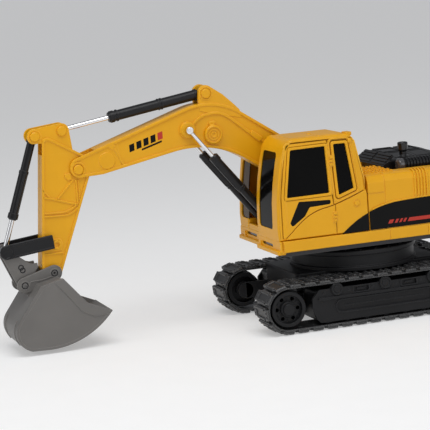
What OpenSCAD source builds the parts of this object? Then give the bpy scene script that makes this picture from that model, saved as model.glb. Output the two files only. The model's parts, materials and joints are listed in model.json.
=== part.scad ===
// Toy tracked excavator, 1:22.
// +X forward, +Y to the cab side, +Z up, origin on the ground under the slewing axis.

/* [Tracks] */
// Overall width over both tracks
track_span = 124; // [120:1:130]
// Width of one track shoe
shoe_w = 28; // [25:1:30]
// Distance from the slewing axis to each wheel axle
wheel_x = 79.5; // [78:0.5:82]
// Outer radius of the track round a wheel, over the grousers
track_r = 19.25; // [19:0.25:20]
// Number of shoes in one track
shoe_count = 40; // [36:1:42]

/* [House] */
// Half of the width of the house
house_half_w = 51; // [50:0.5:52]
// Height of the underside of the yellow tray
tray_z = 60.5; // [60:0.25:61]
// Height of the belt line on top of the tray's skirt
belt_z = 69.3; // [69:0.1:70]
// Height of the cab roof
roof_z = 145.5; // [144:0.5:147]
// Offset of the boom's centre plane from the slewing axis
boom_y = -13.5; // [-14:0.5:-13]
// Half of the width of the slot that the boom stands in
slot_half_w = 16.5; // [16.5:0.25:17]
// Thickness of a moulded shell wall
wall = 2; // [1.8:0.1:2.2]

/* [Boom and arm] */
// Thickness of the boom across its two shells
boom_t = 17; // [16.5:0.25:17]
// Thickness of the arm across its two shells
arm_t = 14; // [13:0.5:14]
// Spacing of the two boom cylinders
boom_cyl_pitch = 25; // [25:0.1:25.2]
// Outer radius of a boom cylinder's barrel
boom_barrel_r = 3.3; // [3:0.1:3.3]
// Outer radius of the arm cylinder's barrel
arm_barrel_r = 4; // [3.6:0.1:4.1]
// Outer radius of the bucket cylinder's barrel
bucket_barrel_r = 3.1; // [2.8:0.1:3.2]
// Radius of the chrome rods of the boom cylinders
thin_rod_r = 1.5; // [1.3:0.1:1.6]
// Radius of the chrome rods of the arm and bucket cylinders
thick_rod_r = 1.9; // [1.7:0.1:2]
// Radial running clearance of a pivot
run_gap = 0.05; // [0.04:0.01:0.08]

/* [Bucket] */
// Width of the bucket over its side plates
bucket_w = 47; // [44:1:50]
// Thickness of the bucket's plates
bucket_wall = 2; // [1.8:0.1:2.4]

/* [Hidden] */
$fn = 48;
arc_step = 6;
eps = 0.01;
fit_gap = 0.15;

// Pivots as [X, Z] in the side view, at rest
P_FOOT = [20, 102];
P_BASE = [62, 72.8];
P_EYE = [128, 155];
P_TIP = [216.2, 133.9];
P_BRACKET = [111.3, 181.5];
P_ROD = [226.1, 163.9];
P_HEAD = [247, 161.6];
P_ROCKER = [243, 81.5];
P_JOINT = [276, 77.8];
P_BUCKET = [241.4, 58.2];
P_LINK = [264.7, 51.4];

track_y = (track_span - shoe_w) / 2;
belt_in_r = track_r - 3.5;
belt_out_r = track_r - 1.75;
wheel_r = belt_in_r - 0.5;
wheel_w = shoe_w - 6;
foot_pin_r = 3;
axle_r = 3;
frame_out_y = track_span / 2 - 2;
chassis_half_w = track_y - shoe_w / 2 - 1;
chassis_half_l = 62;
turn_r = 50;
turn_z = 54.5;
neck_r = 14;
slew_plate_z = 57;
ring_teeth = 48;
pinion_teeth = 12;
gear_module = 1;
gear_z = turn_z;
gear_h = 2;
pinion_x = -(ring_teeth + pinion_teeth) * gear_module / 2 - 0.3;
slot_left = boom_y + slot_half_w;
slot_right = boom_y - slot_half_w;
cab_rear_x = 6;
cab_front_x = 79.5;
module_front_x = 74.5;
module_top_z = 132;
fender_z = 111.5;
body_rear_x = -84;
tail_x = -106;
corner_r = 6;
tail_r = body_rear_x - tail_x;
deck_z = 107;
hood_z = 119;
boom_near = boom_t / 2;
arm_near = arm_t / 2;
fork_half = arm_near + 0.2;
cyl_off = boom_cyl_pitch / 2;
plate_out = arm_near - 1;
plate_t = 1.6;

// ---------- shared geometry ----------

// Points of an arc about centre c from angle a0 to a1
function arc(c, r, a0, a1) =
    let (n = max(1, ceil(abs(a1 - a0) / arc_step)))
    [for (i = [0:n]) [c[0] + r * cos(a0 + (a1 - a0) * i / n), c[1] + r * sin(a0 + (a1 - a0) * i / n)]];

function dist(p, q) = norm([q[0] - p[0], q[1] - p[1]]);
function angle(p, q) = atan2(q[1] - p[1], q[0] - p[0]);

// A side-view outline in X and Z, thickened from y0 to y1
module slab(points, y0, y1) {
    translate([0, y1, 0])
        rotate([90, 0, 0])
            linear_extrude(y1 - y0)
                polygon(points);
}

// A cylinder along Y, centred on the side-view point p
module cross_pin(p, r, y0, y1) {
    translate([p[0], y1, p[1]])
        rotate([90, 0, 0])
            cylinder(r = r, h = y1 - y0);
}

// A bar with rounded ends round p and q
module strap(p, q, r, y0, y1) {
    cross_pin(p, r, y0, y1);
    cross_pin(q, r, y0, y1);
    translate([p[0], y0, p[1]])
        rotate([0, -angle(p, q), 0])
            translate([0, 0, -r])
                cube([dist(p, q), y1 - y0, 2 * r]);
}

// Places children at p with their X axis along the line from p to q
module along(p, q, y) {
    translate([p[0], y, p[1]])
        rotate([0, -angle(p, q), 0])
            children();
}

// A round bar along local X
module bar(r, x0, x1) {
    translate([x0, 0, 0])
        rotate([0, 90, 0])
            cylinder(r = r, h = x1 - x0);
}

module mirror_copy() {
    children();
    mirror([0, 1, 0])
        children();
}

module pan_screw(r, h) {
    cylinder(r = r, h = 1.2);
    translate([0, 0, -h])
        cylinder(r = r / 2, h = h + eps);
}

// ---------- undercarriage ----------

screw_spots = [[-54, -27], [-54, 27], [54, -27], [54, 27]];
belly_z = 9;
split_z = 26;
chassis_top_z = 40;
pack_l = 56;
pack_w = 30;
pack_h = 12;
door_t = 1.6;
switch_x = 46;
screw_head_r = 2.2;
screw_l = 8;
switch_slot_l = 4.4;
knob_l = 3.8;
knob_w = 3.2;
slider_size = [7.4, 5, 1.4];
neck_wall = 4;
neck_z = 42;

module chassis_top() {
    color("#1d1e20")
        difference() {
            union() {
                translate([-chassis_half_l, -chassis_half_w, split_z])
                    cube([2 * chassis_half_l, 2 * chassis_half_w, chassis_top_z - split_z]);
                translate([0, 0, chassis_top_z - eps])
                    cylinder(r = turn_r, h = turn_z - chassis_top_z + eps);
            }
            translate([-chassis_half_l + wall, -chassis_half_w + wall, split_z - eps])
                cube([2 * (chassis_half_l - wall), 2 * (chassis_half_w - wall),
                      chassis_top_z - split_z - wall]);
            translate([0, 0, chassis_top_z])
                difference() {
                    cylinder(r = turn_r - wall, h = turn_z - chassis_top_z - wall);
                    cylinder(r = neck_r + neck_wall, h = turn_z - chassis_top_z - wall);
                }
            cylinder(r = neck_r + run_gap, h = turn_z + 1);
        }
}

module chassis_bottom() {
    color("#1d1e20")
        difference() {
            translate([-chassis_half_l, -chassis_half_w, belly_z])
                cube([2 * chassis_half_l, 2 * chassis_half_w, split_z - belly_z]);
            translate([-chassis_half_l + wall, -chassis_half_w + wall, belly_z + wall])
                cube([2 * (chassis_half_l - wall), 2 * (chassis_half_w - wall), split_z - belly_z]);
            translate([-pack_l / 2, -pack_w / 2, belly_z - 1])
                cube([pack_l, pack_w, wall + 2]);
            translate([switch_x, -4, belly_z - 1])
                cube([switch_slot_l, 8, wall + 2]);
            for (s = screw_spots)
                translate([s[0], s[1], belly_z - 1])
                    cylinder(r = screw_head_r / 2 + fit_gap, h = wall + 2);
        }
}

module battery_pack() {
    cell_r = pack_h / 2;
    color("#2c56a0")
        for (i = [0:1])
            translate([-pack_l / 2 + 2, (i - 0.5) * 2 * cell_r * 1.02, belly_z + wall + cell_r + 0.2])
                rotate([0, 90, 0])
                    cylinder(r = cell_r, h = pack_l - 4);
}

module battery_door() {
    color("#1d1e20")
        translate([-pack_l / 2 + fit_gap, -pack_w / 2 + fit_gap, belly_z])
            cube([pack_l - 2 * fit_gap, pack_w - 2 * fit_gap, door_t]);
}

module chassis_screws() {
    color("#b8bcc2")
        for (s = screw_spots)
            translate([s[0], s[1], belly_z])
                rotate([180, 0, 0])
                    pan_screw(screw_head_r, screw_l);
}

module power_switch() {
    color("#c0392b")
        union() {
            translate([switch_x + 0.3, -3.6, belly_z - 1])
                cube([knob_l, knob_w, wall + 1.4]);
            translate([switch_x - 1.5, -4.5, belly_z + wall + 0.2])
                cube(slider_size);
        }
}

frame_half_l = 57;
frame_z0 = 7;
frame_z1 = 30;
carrier_x = [-40, 0, 40];
carrier_z = 30.2;
carrier_r = 4.7;
slot_x = [-20, 20];
slot_size = [12, 4, 4.6];
slot_z = 26;
rail_z = 22.6;
rail_size = [3.2, 2.2];
groove_x = 38;
groove_z = 16.5;
groove_r = 4;
arm_r = 6;

// Side frame of the left track, with its two wheel arms and stub axles
module side_frame(side) {
    inner_y = chassis_half_w + 0.02;
    color("#232427")
        mirror([0, side < 0 ? 1 : 0, 0])
            difference() {
                union() {
                    translate([-frame_half_l, inner_y, frame_z0])
                        cube([2 * frame_half_l, frame_out_y - inner_y, frame_z1 - frame_z0]);
                    translate([-frame_half_l, frame_out_y - 2, rail_z])
                        cube([2 * frame_half_l, rail_size[0], rail_size[1]]);
                    translate([-wheel_x, inner_y, track_r - arm_r])
                        cube([2 * wheel_x, wall, 2 * arm_r]);
                    for (x = [-wheel_x, wheel_x])
                        cross_pin([x, track_r], arm_r, inner_y, inner_y + wall);
                    for (x = [-wheel_x, wheel_x])
                        cross_pin([x, track_r], axle_r, inner_y, frame_out_y - 2);
                    for (x = carrier_x)
                        cross_pin([x, carrier_z], carrier_r, frame_out_y - 3, frame_out_y + 1.4);
                }
                for (x = slot_x)
                    translate([x - slot_size[0] / 2, frame_out_y - 3, slot_z])
                        cube(slot_size);
                slab(concat(arc([groove_x, groove_z], groove_r, -90, 90),
                            arc([-groove_x, groove_z], groove_r, 90, 270)),
                     frame_out_y - 1, frame_out_y + 1);
            }
}

module side_frame_left() {
    side_frame(1);
}

module side_frame_right() {
    side_frame(-1);
}

shoe_fill = 0.8;
shoe_sink = 0.4;

function racetrack(r) = concat(arc([wheel_x, track_r], r, -90, 90), arc([-wheel_x, track_r], r, 90, 270));

// One shoe pad with its lower face on the belt, at distance d along the loop
module shoe(d, pitch) {
    run = 2 * wheel_x;
    turn = PI * belt_out_r;
    pad_l = pitch * shoe_fill;
    on_top = d < run;
    on_rear = d >= run && d < run + turn;
    on_bottom = d >= run + turn && d < 2 * run + turn;
    a = on_top ? 0
        : on_rear ? (d - run) / turn * 180
        : on_bottom ? 180
        : 180 + (d - 2 * run - turn) / turn * 180;
    c = on_top ? wheel_x - d : on_rear ? -wheel_x : on_bottom ? -wheel_x + (d - run - turn) : wheel_x;
    translate([c, 0, track_r])
        rotate([0, -a, 0])
            translate([-pad_l / 2, -shoe_w / 2, belt_out_r - shoe_sink])
                cube([pad_l, shoe_w, track_r - belt_out_r + shoe_sink]);
}

module track() {
    loop = 4 * wheel_x + 2 * PI * belt_out_r;
    color("#26272a")
        union() {
            difference() {
                slab(racetrack(belt_out_r), -shoe_w / 2 + 1, shoe_w / 2 - 1);
                slab(racetrack(belt_in_r), -shoe_w / 2, shoe_w / 2);
            }
            for (i = [0:shoe_count - 1])
                shoe((i + 0.5) * loop / shoe_count, loop / shoe_count);
        }
}

module track_left() {
    translate([0, track_y, 0])
        track();
}

module track_right() {
    translate([0, -track_y, 0])
        track();
}

wheel_teeth = 16;
tooth_size = [2.4, 2.2, 6];
disc_r = wheel_r - 1.6;
recess_r = wheel_r - 4;
recess_depth = 3;
hub_r = 6.5;

module track_wheel(x, side) {
    color("#2b2c2f")
        translate([x, side * (track_y + 1), track_r])
            rotate([90, 0, 0])
                difference() {
                    union() {
                        cylinder(r = disc_r, h = wheel_w, center = true);
                        for (i = [0:wheel_teeth - 1])
                            rotate([0, 0, i * 360 / wheel_teeth])
                                translate([wheel_r - tooth_size[0], -tooth_size[1] / 2, -tooth_size[2] / 2])
                                    cube(tooth_size);
                    }
                    cylinder(r = axle_r + run_gap, h = wheel_w + 2, center = true);
                    for (s = [-1, 1])
                        translate([0, 0, s * wheel_w / 2])
                            difference() {
                                cylinder(r = recess_r, h = 2 * recess_depth, center = true);
                                cylinder(r = hub_r, h = 2 * recess_depth + 1, center = true);
                            }
                }
}

module front_wheel_left() {
    track_wheel(wheel_x, 1);
}

module front_wheel_right() {
    track_wheel(wheel_x, -1);
}

module drive_wheel_left() {
    track_wheel(-wheel_x, 1);
}

module drive_wheel_right() {
    track_wheel(-wheel_x, -1);
}

gearbox_at = [-50, 17, 12];
gearbox_size = [20, 13, 12];
motor_r = 6;
motor_l = 9.5;

module drive_gearboxes() {
    color("#3a3c40")
        mirror_copy()
            translate(gearbox_at)
                cube(gearbox_size);
}

module drive_motors() {
    color("#aeb3b8")
        mirror_copy()
            translate(gearbox_at + [gearbox_size[0] + 0.2, gearbox_size[1] / 2, gearbox_size[2] / 2])
                rotate([0, 90, 0])
                    cylinder(r = motor_r, h = motor_l);
}

dedendum = 1.1;
addendum = 0.75;
root_turn = 92.8;
tip_turn = 41.6;
pinion_shaft_r = 1.5;
pinion_shaft_l = 10;

function on_circle(r, a) = [r * cos(a), r * sin(a)];

// Outline of a spur gear of n straight-sided teeth, thinned for backlash
function gear_points(n) =
    let (r0 = gear_module * n / 2 - dedendum, r1 = gear_module * n / 2 + addendum)
    [for (i = [0:n - 1]) each [
        on_circle(r0, (360 * i - root_turn) / n), on_circle(r1, (360 * i - tip_turn) / n),
        on_circle(r1, (360 * i + tip_turn) / n), on_circle(r0, (360 * i + root_turn) / n)]];

module slew_ring_gear() {
    color("#d9d9d6")
        translate([0, 0, gear_z])
            difference() {
                linear_extrude(gear_h)
                    polygon(gear_points(ring_teeth));
                translate([0, 0, -1])
                    cylinder(r = neck_r + 2, h = gear_h + 2);
            }
}

module slew_pinion() {
    color("#e8e8e4")
        translate([pinion_x, 0, gear_z + 0.3]) {
            rotate([0, 0, 180 / pinion_teeth])
                linear_extrude(gear_h - 0.4)
                    polygon(gear_points(pinion_teeth));
            cylinder(r = pinion_shaft_r, h = pinion_shaft_l);
        }
}

// ---------- house ----------

// Plan outline of the tray and plate, shrunk by d
function house_plan(d) = concat(
    [[cab_front_x - d, slot_left + d]],
    arc([cab_front_x - corner_r, house_half_w - corner_r], corner_r - d, 0, 90),
    arc([tail_x + tail_r, house_half_w - tail_r], tail_r - d, 90, 180),
    arc([tail_x + tail_r, tail_r - house_half_w], tail_r - d, 180, 270),
    arc([module_front_x - corner_r, corner_r - house_half_w], corner_r - d, 270, 360),
    [[module_front_x - d, slot_left + d]]
);

plate_inset = 3.5;

module slew_plate() {
    color("#3c3d40")
        difference() {
            union() {
                translate([0, 0, slew_plate_z])
                    linear_extrude(tray_z - slew_plate_z)
                        polygon(house_plan(plate_inset));
                translate([0, 0, neck_z])
                    cylinder(r = neck_r, h = slew_plate_z - neck_z + eps);
            }
            translate([pinion_x, 0, slew_plate_z - 1])
                cylinder(r = pinion_shaft_r + run_gap, h = 6);
            translate([0, 0, neck_z - 1])
                cylinder(r = neck_r - neck_wall, h = 25);
        }
}

module house_tray() {
    color("#f0b41c")
        difference() {
            translate([0, 0, tray_z])
                linear_extrude(belt_z - tray_z)
                    polygon(house_plan(0));
            translate([0, 0, tray_z + wall])
                linear_extrude(belt_z)
                    polygon(house_plan(wall));
            translate([0, 0, tray_z - 1])
                cylinder(r = neck_r - neck_wall, h = wall + 2);
            translate([pinion_x, 0, tray_z - 1])
                cylinder(r = pinion_shaft_r + run_gap, h = wall + 2);
        }
}

// Side outline of the cab, shrunk by d
function cab_outline(d) = [
    [cab_front_x - d, belt_z + eps + d], [cab_front_x + 0.7 - d, 79],
    [cab_front_x - d, 98], [cab_front_x - 1.6 - d, 112], [cab_front_x - 4.5 - d, 128],
    [cab_front_x - 7.5 - d, roof_z - 6 - d], [cab_front_x - 9.5 - d, roof_z - 2 - d],
    [cab_front_x - 13.5 - d / 2, roof_z - d], [cab_rear_x + 12 + d, roof_z - d],
    [cab_rear_x + 9.5 + d, roof_z - 2 - d], [cab_rear_x + 1 + d, 110],
    [cab_rear_x + d, 88], [cab_rear_x + d, belt_z + eps + d]
];

screen_y = [10, 38];
screen_z = [77.5, 135];
pane_t = 1;
pane_sink = 0.8;
door_glass = [[71.6, 102], [66.8, 137.5], [39, 138], [37.4, 102.2]];
quarter_glass = [[29.7, 99.6], [31.8, 138.8], [22.4, 138.6], [17.3, 104]];

module cab_shell() {
    color("#f0b41c")
        difference() {
            slab(cab_outline(0), slot_left, house_half_w);
            translate([0, 0, -wall - 1])
                slab(cab_outline(wall), slot_left + wall, house_half_w - wall);
            slab(cab_outline(wall), slot_left + wall, house_half_w - wall);
            translate([60, screen_y[0], screen_z[0]])
                cube([30, screen_y[1] - screen_y[0], screen_z[1] - screen_z[0]]);
            slab(door_glass, house_half_w - 4, house_half_w + 1);
            slab(quarter_glass, house_half_w - 4, house_half_w + 1);
            cross_pin(P_FOOT, foot_pin_r + 0.02, slot_left - 1, slot_left + wall + 1);
        }
}

module windscreen() {
    color("#17181a")
        intersection() {
            difference() {
                slab(cab_outline(pane_sink), screen_y[0] + fit_gap, screen_y[1] - fit_gap);
                slab(cab_outline(pane_sink + pane_t), screen_y[0], screen_y[1]);
            }
            translate([62, 0, screen_z[0] + fit_gap])
                cube([30, 60, screen_z[1] - screen_z[0] - 2 * fit_gap]);
        }
}

// A window outline pulled in towards its middle by the fit gap
function pane(points) =
    let (m = (points[0] + points[1] + points[2] + points[3]) / 4)
    [for (p = points) m + (p - m) * 0.985];

module door_window() {
    color("#17181a")
        slab(pane(door_glass), house_half_w - pane_sink - pane_t, house_half_w - pane_sink);
}

module quarter_window() {
    color("#17181a")
        slab(pane(quarter_glass), house_half_w - pane_sink - pane_t, house_half_w - pane_sink);
}

seat_at = [24, 16];
seat_side = 20;
seat_h = 24;
backrest_t = 5;
backrest_h = 48;

module seat() {
    color("#222326")
        translate([seat_at[0], seat_at[1], tray_z + wall]) {
            cube([seat_side, seat_side, seat_h]);
            cube([backrest_t, seat_side, backrest_h]);
        }
}

console_at = [56, 12];
console_size = [8, 26, 24];
lever_r = 1.2;
lever_l = 14;

module control_console() {
    color("#2a2b2e")
        union() {
            translate([console_at[0], console_at[1], tray_z + wall])
                cube(console_size);
            for (y = [4, console_size[1] - 4])
                translate([console_at[0] + console_size[0] / 2, console_at[1] + y,
                           tray_z + wall + console_size[2] - 1])
                    cylinder(r = lever_r, h = lever_l);
        }
}

// Side outline of the right-hand module, shrunk by d
function module_outline(d) = [
    [module_front_x - d, belt_z + eps + d], [module_front_x + 0.5 - d, 79],
    [module_front_x - 1 - d, 104], [module_front_x - 4 - d, module_top_z - 6],
    [module_front_x - 8 - d / 2, module_top_z - d], [cab_rear_x + 10 + d, module_top_z - d],
    [cab_rear_x + 1 + d, 106], [cab_rear_x + d, belt_z + eps + d]
];

module_screen_y = [-house_half_w + 6, slot_right - 2.5];
module_screen_z = [83, 123];

module right_module() {
    color("#f0b41c")
        difference() {
            slab(module_outline(0), -house_half_w, slot_right);
            translate([0, 0, -wall - 1])
                slab(module_outline(wall), -house_half_w + wall, slot_right - wall);
            slab(module_outline(wall), -house_half_w + wall, slot_right - wall);
            translate([60, module_screen_y[0], module_screen_z[0]])
                cube([30, module_screen_y[1] - module_screen_y[0], module_screen_z[1] - module_screen_z[0]]);
            cross_pin(P_FOOT, foot_pin_r + 0.02, slot_right - wall - 1, slot_right + 1);
        }
}

module module_window() {
    color("#17181a")
        intersection() {
            difference() {
                slab(module_outline(pane_sink), module_screen_y[0] + fit_gap, module_screen_y[1] - fit_gap);
                slab(module_outline(pane_sink + pane_t), -house_half_w, slot_right);
            }
            translate([60, -60, module_screen_z[0] + fit_gap])
                cube([30, 60, module_screen_z[1] - module_screen_z[0] - 2 * fit_gap]);
        }
}

side_w = 20;
side_front_x = cab_rear_x - 0.4;
side_l = side_front_x - body_rear_x;

// Cross-section of a body side in Y and Z, shrunk by d, for the left side
function side_section(d) = [
    [house_half_w - d, belt_z + eps], [house_half_w - d, fender_z - 4.5],
    [house_half_w - 2.5 - d / 2, fender_z - 1 - d], [house_half_w - 7, fender_z - d],
    [house_half_w - side_w, fender_z - d], [house_half_w - side_w, fender_z - 2 - d],
    [house_half_w - side_w + d, belt_z + eps]
];

module body_side() {
    difference() {
        translate([side_front_x, 0, 0])
            rotate([90, 0, -90])
                linear_extrude(side_l)
                    mirror([1, 0])
                        polygon(side_section(0));
        translate([side_front_x - wall, 0, -1])
            rotate([90, 0, -90])
                linear_extrude(side_l - 2 * wall)
                    mirror([1, 0])
                        polygon(side_section(wall));
    }
}

module body_side_left() {
    color("#f0b41c")
        body_side();
}

module body_side_right() {
    color("#f0b41c")
        mirror([0, 1, 0])
            body_side();
}

deck_l = cab_rear_x - 5 - body_rear_x;

module engine_deck() {
    half = house_half_w - side_w - 0.2;
    color("#f0b41c")
        difference() {
            translate([body_rear_x, -half, belt_z + 0.2])
                cube([deck_l, 2 * half, deck_z - belt_z]);
            translate([body_rear_x + wall, -half + wall, belt_z - 1])
                cube([deck_l - 2 * wall, 2 * (half - wall), deck_z - belt_z - 0.6]);
        }
}

hood_x = [-78, -24];
hood_y = [-29, 12];
hood_far_y = -45;
hood_step_z = fender_z + 0.3;
exhaust_at = [-46, 1];

// Side outline of the black engine hood
function hood_outline() = [
    [hood_x[0], deck_z + 0.3], [hood_x[1], deck_z + 0.3], [hood_x[1] - 1, hood_z - 5],
    [hood_x[1] - 9, hood_z], [hood_x[0] + 3, hood_z], [hood_x[0], hood_z - 3]
];

module engine_hood() {
    color("#1b1c1e")
        difference() {
            union() {
                slab(hood_outline(), hood_y[0], hood_y[1]);
                intersection() {
                    slab(hood_outline(), hood_far_y, hood_y[0] + 1);
                    translate([hood_x[0], hood_far_y, hood_step_z])
                        cube([hood_x[1] - hood_x[0], -hood_far_y, hood_z - hood_step_z]);
                }
            }
            translate([hood_x[0] + wall, hood_y[0] + wall, deck_z - 1])
                cube([hood_x[1] - hood_x[0] - 2 * wall - 1, hood_y[1] - hood_y[0] - 2 * wall, 6]);
            translate([exhaust_at[0], exhaust_at[1], deck_z])
                cylinder(r = 4, h = 20);
        }
}

module exhaust_stack() {
    color("#141517")
        translate([exhaust_at[0], exhaust_at[1], deck_z + 0.25])
            rotate_extrude()
                polygon([[0, 0], [3.2, 0], [3.2, 14], [4.2, 16], [4.2, 22], [3.4, 23.5], [2.6, 23.5],
                         [2.6, 19], [0, 19]]);
}

cleaner_at = [-80, 20.5, deck_z + 5.5];
cleaner_l = 46;
cleaner_r = 4.3;
cleaner_rib_r = 5.2;
cleaner_ribs = 14;
cleaner_pitch = 2.8;
cleaner_cap = 4;

module air_cleaner() {
    color("#303236")
        translate(cleaner_at)
            rotate([0, 90, 0])
                union() {
                    cylinder(r = cleaner_r, h = cleaner_l);
                    for (i = [0:cleaner_ribs - 1])
                        translate([0, 0, 2 + i * cleaner_pitch])
                            cylinder(r = cleaner_rib_r, h = cleaner_pitch / 2);
                    translate([0, 0, cleaner_l - cleaner_cap - 0.5])
                        cylinder(r = cleaner_rib_r, h = cleaner_cap);
                }
}

// Hollow for ballast in the counterweight
ballast_size = [14, 60, 30];

module counterweight() {
    plan = concat(
        arc([body_rear_x, house_half_w - tail_r], tail_r - 0.5, 91, 180),
        arc([body_rear_x, tail_r - house_half_w], tail_r - 0.5, 180, 269)
    );
    color("#f0b41c")
        translate([0, 0, belt_z + eps])
            difference() {
                linear_extrude(fender_z - belt_z - 1)
                    polygon(plan);
                translate([body_rear_x - ballast_size[0] + 4, -ballast_size[1] / 2, -1])
                    cube(ballast_size);
            }
}

module boom_foot_pin() {
    color("#b8bcc2")
        cross_pin(P_FOOT, foot_pin_r, slot_right - 1.6, slot_left + 1.6);
}

slew_motor_r = 8;
slew_motor_l = 23;

module slew_motor() {
    color("#aeb3b8")
        translate([pinion_x, 0, tray_z + wall])
            difference() {
                cylinder(r = slew_motor_r, h = slew_motor_l);
                translate([0, 0, -1])
                    cylinder(r = pinion_shaft_r + run_gap, h = 4);
            }
}

boom_motor_at = [-28, -27];
boom_motor_size = [24, 18, 32];

module boom_gearmotor() {
    color("#3a3c40")
        translate([boom_motor_at[0], boom_motor_at[1], tray_z + wall])
            cube(boom_motor_size);
}

board_at = [-80, -24, 74];
board_size = [38, 34, 1.6];
chip_size = [6, 8, 2.5];
chip_x = [6, 18, 28];
post_r = 1.6;
post_in = 4;

module circuit_board() {
    color("#1f6b3a")
        translate(board_at)
            union() {
                cube(board_size);
                for (x = chip_x)
                    translate([x, 10, board_size[2] - 0.1])
                        cube(chip_size);
                for (x = [post_in, board_size[0] - post_in], y = [post_in, board_size[1] - post_in])
                    translate([x, y, tray_z + wall - board_at[2]])
                        cylinder(r = post_r, h = board_at[2] - tray_z - wall + eps);
            }
}

house_screw_at = [15.4, 92];
house_screw_r = 2.6;
house_screw_h = 0.7;

module house_screws() {
    color("#d9a21a")
        mirror_copy()
            translate([house_screw_at[0], house_half_w + eps, house_screw_at[1]])
                rotate([-90, 0, 0])
                    cylinder(r = house_screw_r, h = house_screw_h);
}

// ---------- boom ----------

top_c = [113, 122];
top_r = 52;
low_c = [125, 62];
low_r = 78.8;
nose_c = [214.8, 135.1];
nose_r = 7.6;
foot_r = 10;

// Side outline of the boom, shrunk by d
function boom_outline(d) = concat(
    arc(nose_c, nose_r - d, -90, 71.7),
    arc(top_c, top_r - d, 71.7, 124),
    [[48 + 0.55 * d, 141 - 0.83 * d]],
    arc(P_FOOT, foot_r - d, 128, 300),
    arc(low_c, low_r + d, 128, 78.7),
    [[197, 128.3 + d]]
);

function bracket_outline() = concat(
    arc(P_BRACKET, 6.2, -10, 118),
    [[84, 165.5], [92, 160], [118, 168]]
);

fork_x = 202;
pin_head_r = 3.7;
eye_pin_over = 3.2;
head_pin_r = 2.5;
eye_pin_r = 1.5;
pin_shrink = 0.02;
eye_boss_r = 4.9;

module boom_half(side) {
    color("#f0b41c")
        translate([0, boom_y, 0])
            mirror([0, side > 0 ? 0 : 1, 0])
                difference() {
                    union() {
                        slab(boom_outline(0), 0.02, boom_near);
                        slab(bracket_outline(), 4.6, boom_near - 1);
                        cross_pin(P_EYE, eye_boss_r, boom_near - 1, cyl_off - thin_rod_r - 0.6);
                    }
                    slab(boom_outline(wall), -1, boom_near - wall);
                    translate([fork_x, -1, 110])
                        cube([40, fork_half + 1, 50]);
                    cross_pin(P_FOOT, foot_pin_r + run_gap, -1, boom_near + 1);
                    cross_pin(P_TIP, head_pin_r, -1, boom_near + 1);
                    cross_pin(P_BRACKET, head_pin_r, -1, boom_near + 1);
                    cross_pin(P_EYE, eye_pin_r, -1, boom_near + 6);
                }
}

module boom_left() {
    boom_half(1);
}

module boom_right() {
    boom_half(-1);
}

port_at = [107.5, 149.5];
port_r = 6.4;
port_h = 1.6;
dot_at = port_at + [1, 6];
dot_r = 2;

module boom_port_caps() {
    color("#f0b41c")
        translate([0, boom_y, 0])
            mirror_copy()
                union() {
                    cross_pin(port_at, port_r, boom_near + 0.02, boom_near + port_h);
                    cross_pin(dot_at, dot_r, boom_near + 0.02, boom_near + port_h);
                }
}

// Pins fixed in the boom: arm pivot, arm-cylinder pivot and boom-cylinder pivot
module boom_pins() {
    color("#f0b41c")
        translate([0, boom_y, 0]) {
            cross_pin(P_TIP, head_pin_r - pin_shrink, -boom_near - 0.5, boom_near + 0.5);
            cross_pin(P_BRACKET, head_pin_r - pin_shrink, -boom_near - 0.5, boom_near + 0.5);
            cross_pin(P_EYE, eye_pin_r - pin_shrink, -cyl_off - eye_pin_over, cyl_off + eye_pin_over);
            mirror_copy() {
                cross_pin(P_TIP, pin_head_r, boom_near + eps, boom_near + 1.4);
                cross_pin(P_BRACKET, pin_head_r, boom_near - 1 + eps, boom_near + 0.8);
            }
        }
}

arm_motor_at = [150, 145];
arm_motor_turn = 18;
arm_motor_size = [34, 11.2, 11];
rod_eye_r = 2.9;
boom_rod_l = 62;
collar_over = 0.5;
big_collar_over = 0.6;

module arm_gearmotor() {
    color("#3a3c40")
        translate([arm_motor_at[0], boom_y - arm_motor_size[1] / 2, arm_motor_at[1]])
            rotate([0, arm_motor_turn, 0])
                cube(arm_motor_size);
}

module boom_cylinder_rods() {
    color("#d8dadd")
        translate([0, boom_y, 0])
            mirror_copy()
                difference() {
                    union() {
                        cross_pin(P_EYE, rod_eye_r, cyl_off - thin_rod_r - 0.5, cyl_off + thin_rod_r + 0.9);
                        along(P_EYE, P_BASE, cyl_off)
                            bar(thin_rod_r, eye_pin_r + 0.1, boom_rod_l);
                    }
                    cross_pin(P_EYE, eye_pin_r - pin_shrink + run_gap, 0, cyl_off + 9);
                }
}

module boom_cylinder_barrels() {
    l = dist(P_EYE, P_BASE);
    top = l * 0.262;
    color("#191a1c")
        translate([0, boom_y, 0])
            mirror_copy()
                along(P_EYE, P_BASE, cyl_off)
                    difference() {
                        union() {
                            bar(boom_barrel_r, top, l - 2);
                            bar(boom_barrel_r + collar_over, top + 0.5, top + 5);
                            bar(boom_barrel_r + collar_over, l * 0.575, l * 0.575 + 3);
                        }
                        bar(thin_rod_r + run_gap, top - 1, l - 5);
                    }
}

// ---------- arm ----------

// Side outline of the arm, shrunk by d
function arm_outline(d) = concat(
    [[241.7 - d, 159.5 - 2 * d], [236.7, 160 - 1.2 * d], [206.4 + d, 141.8 - d], [207.8 + d, 127.3]],
    arc(P_BUCKET, 6.4 - d, 205, 330),
    [[249.9 - d, 62.5]]
);

tip_boss_r = 5;
hole_boss_at = [237.1, 78.8];
hole_boss_r = 2.9;
rocker_pin_r = 1.5;
bucket_pin_r = 1.9;
plate_pin_r = 1.8;
stub_head_r = 3.6;
stub_head_t = 1.8;
plate_r = 5.6;

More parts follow.
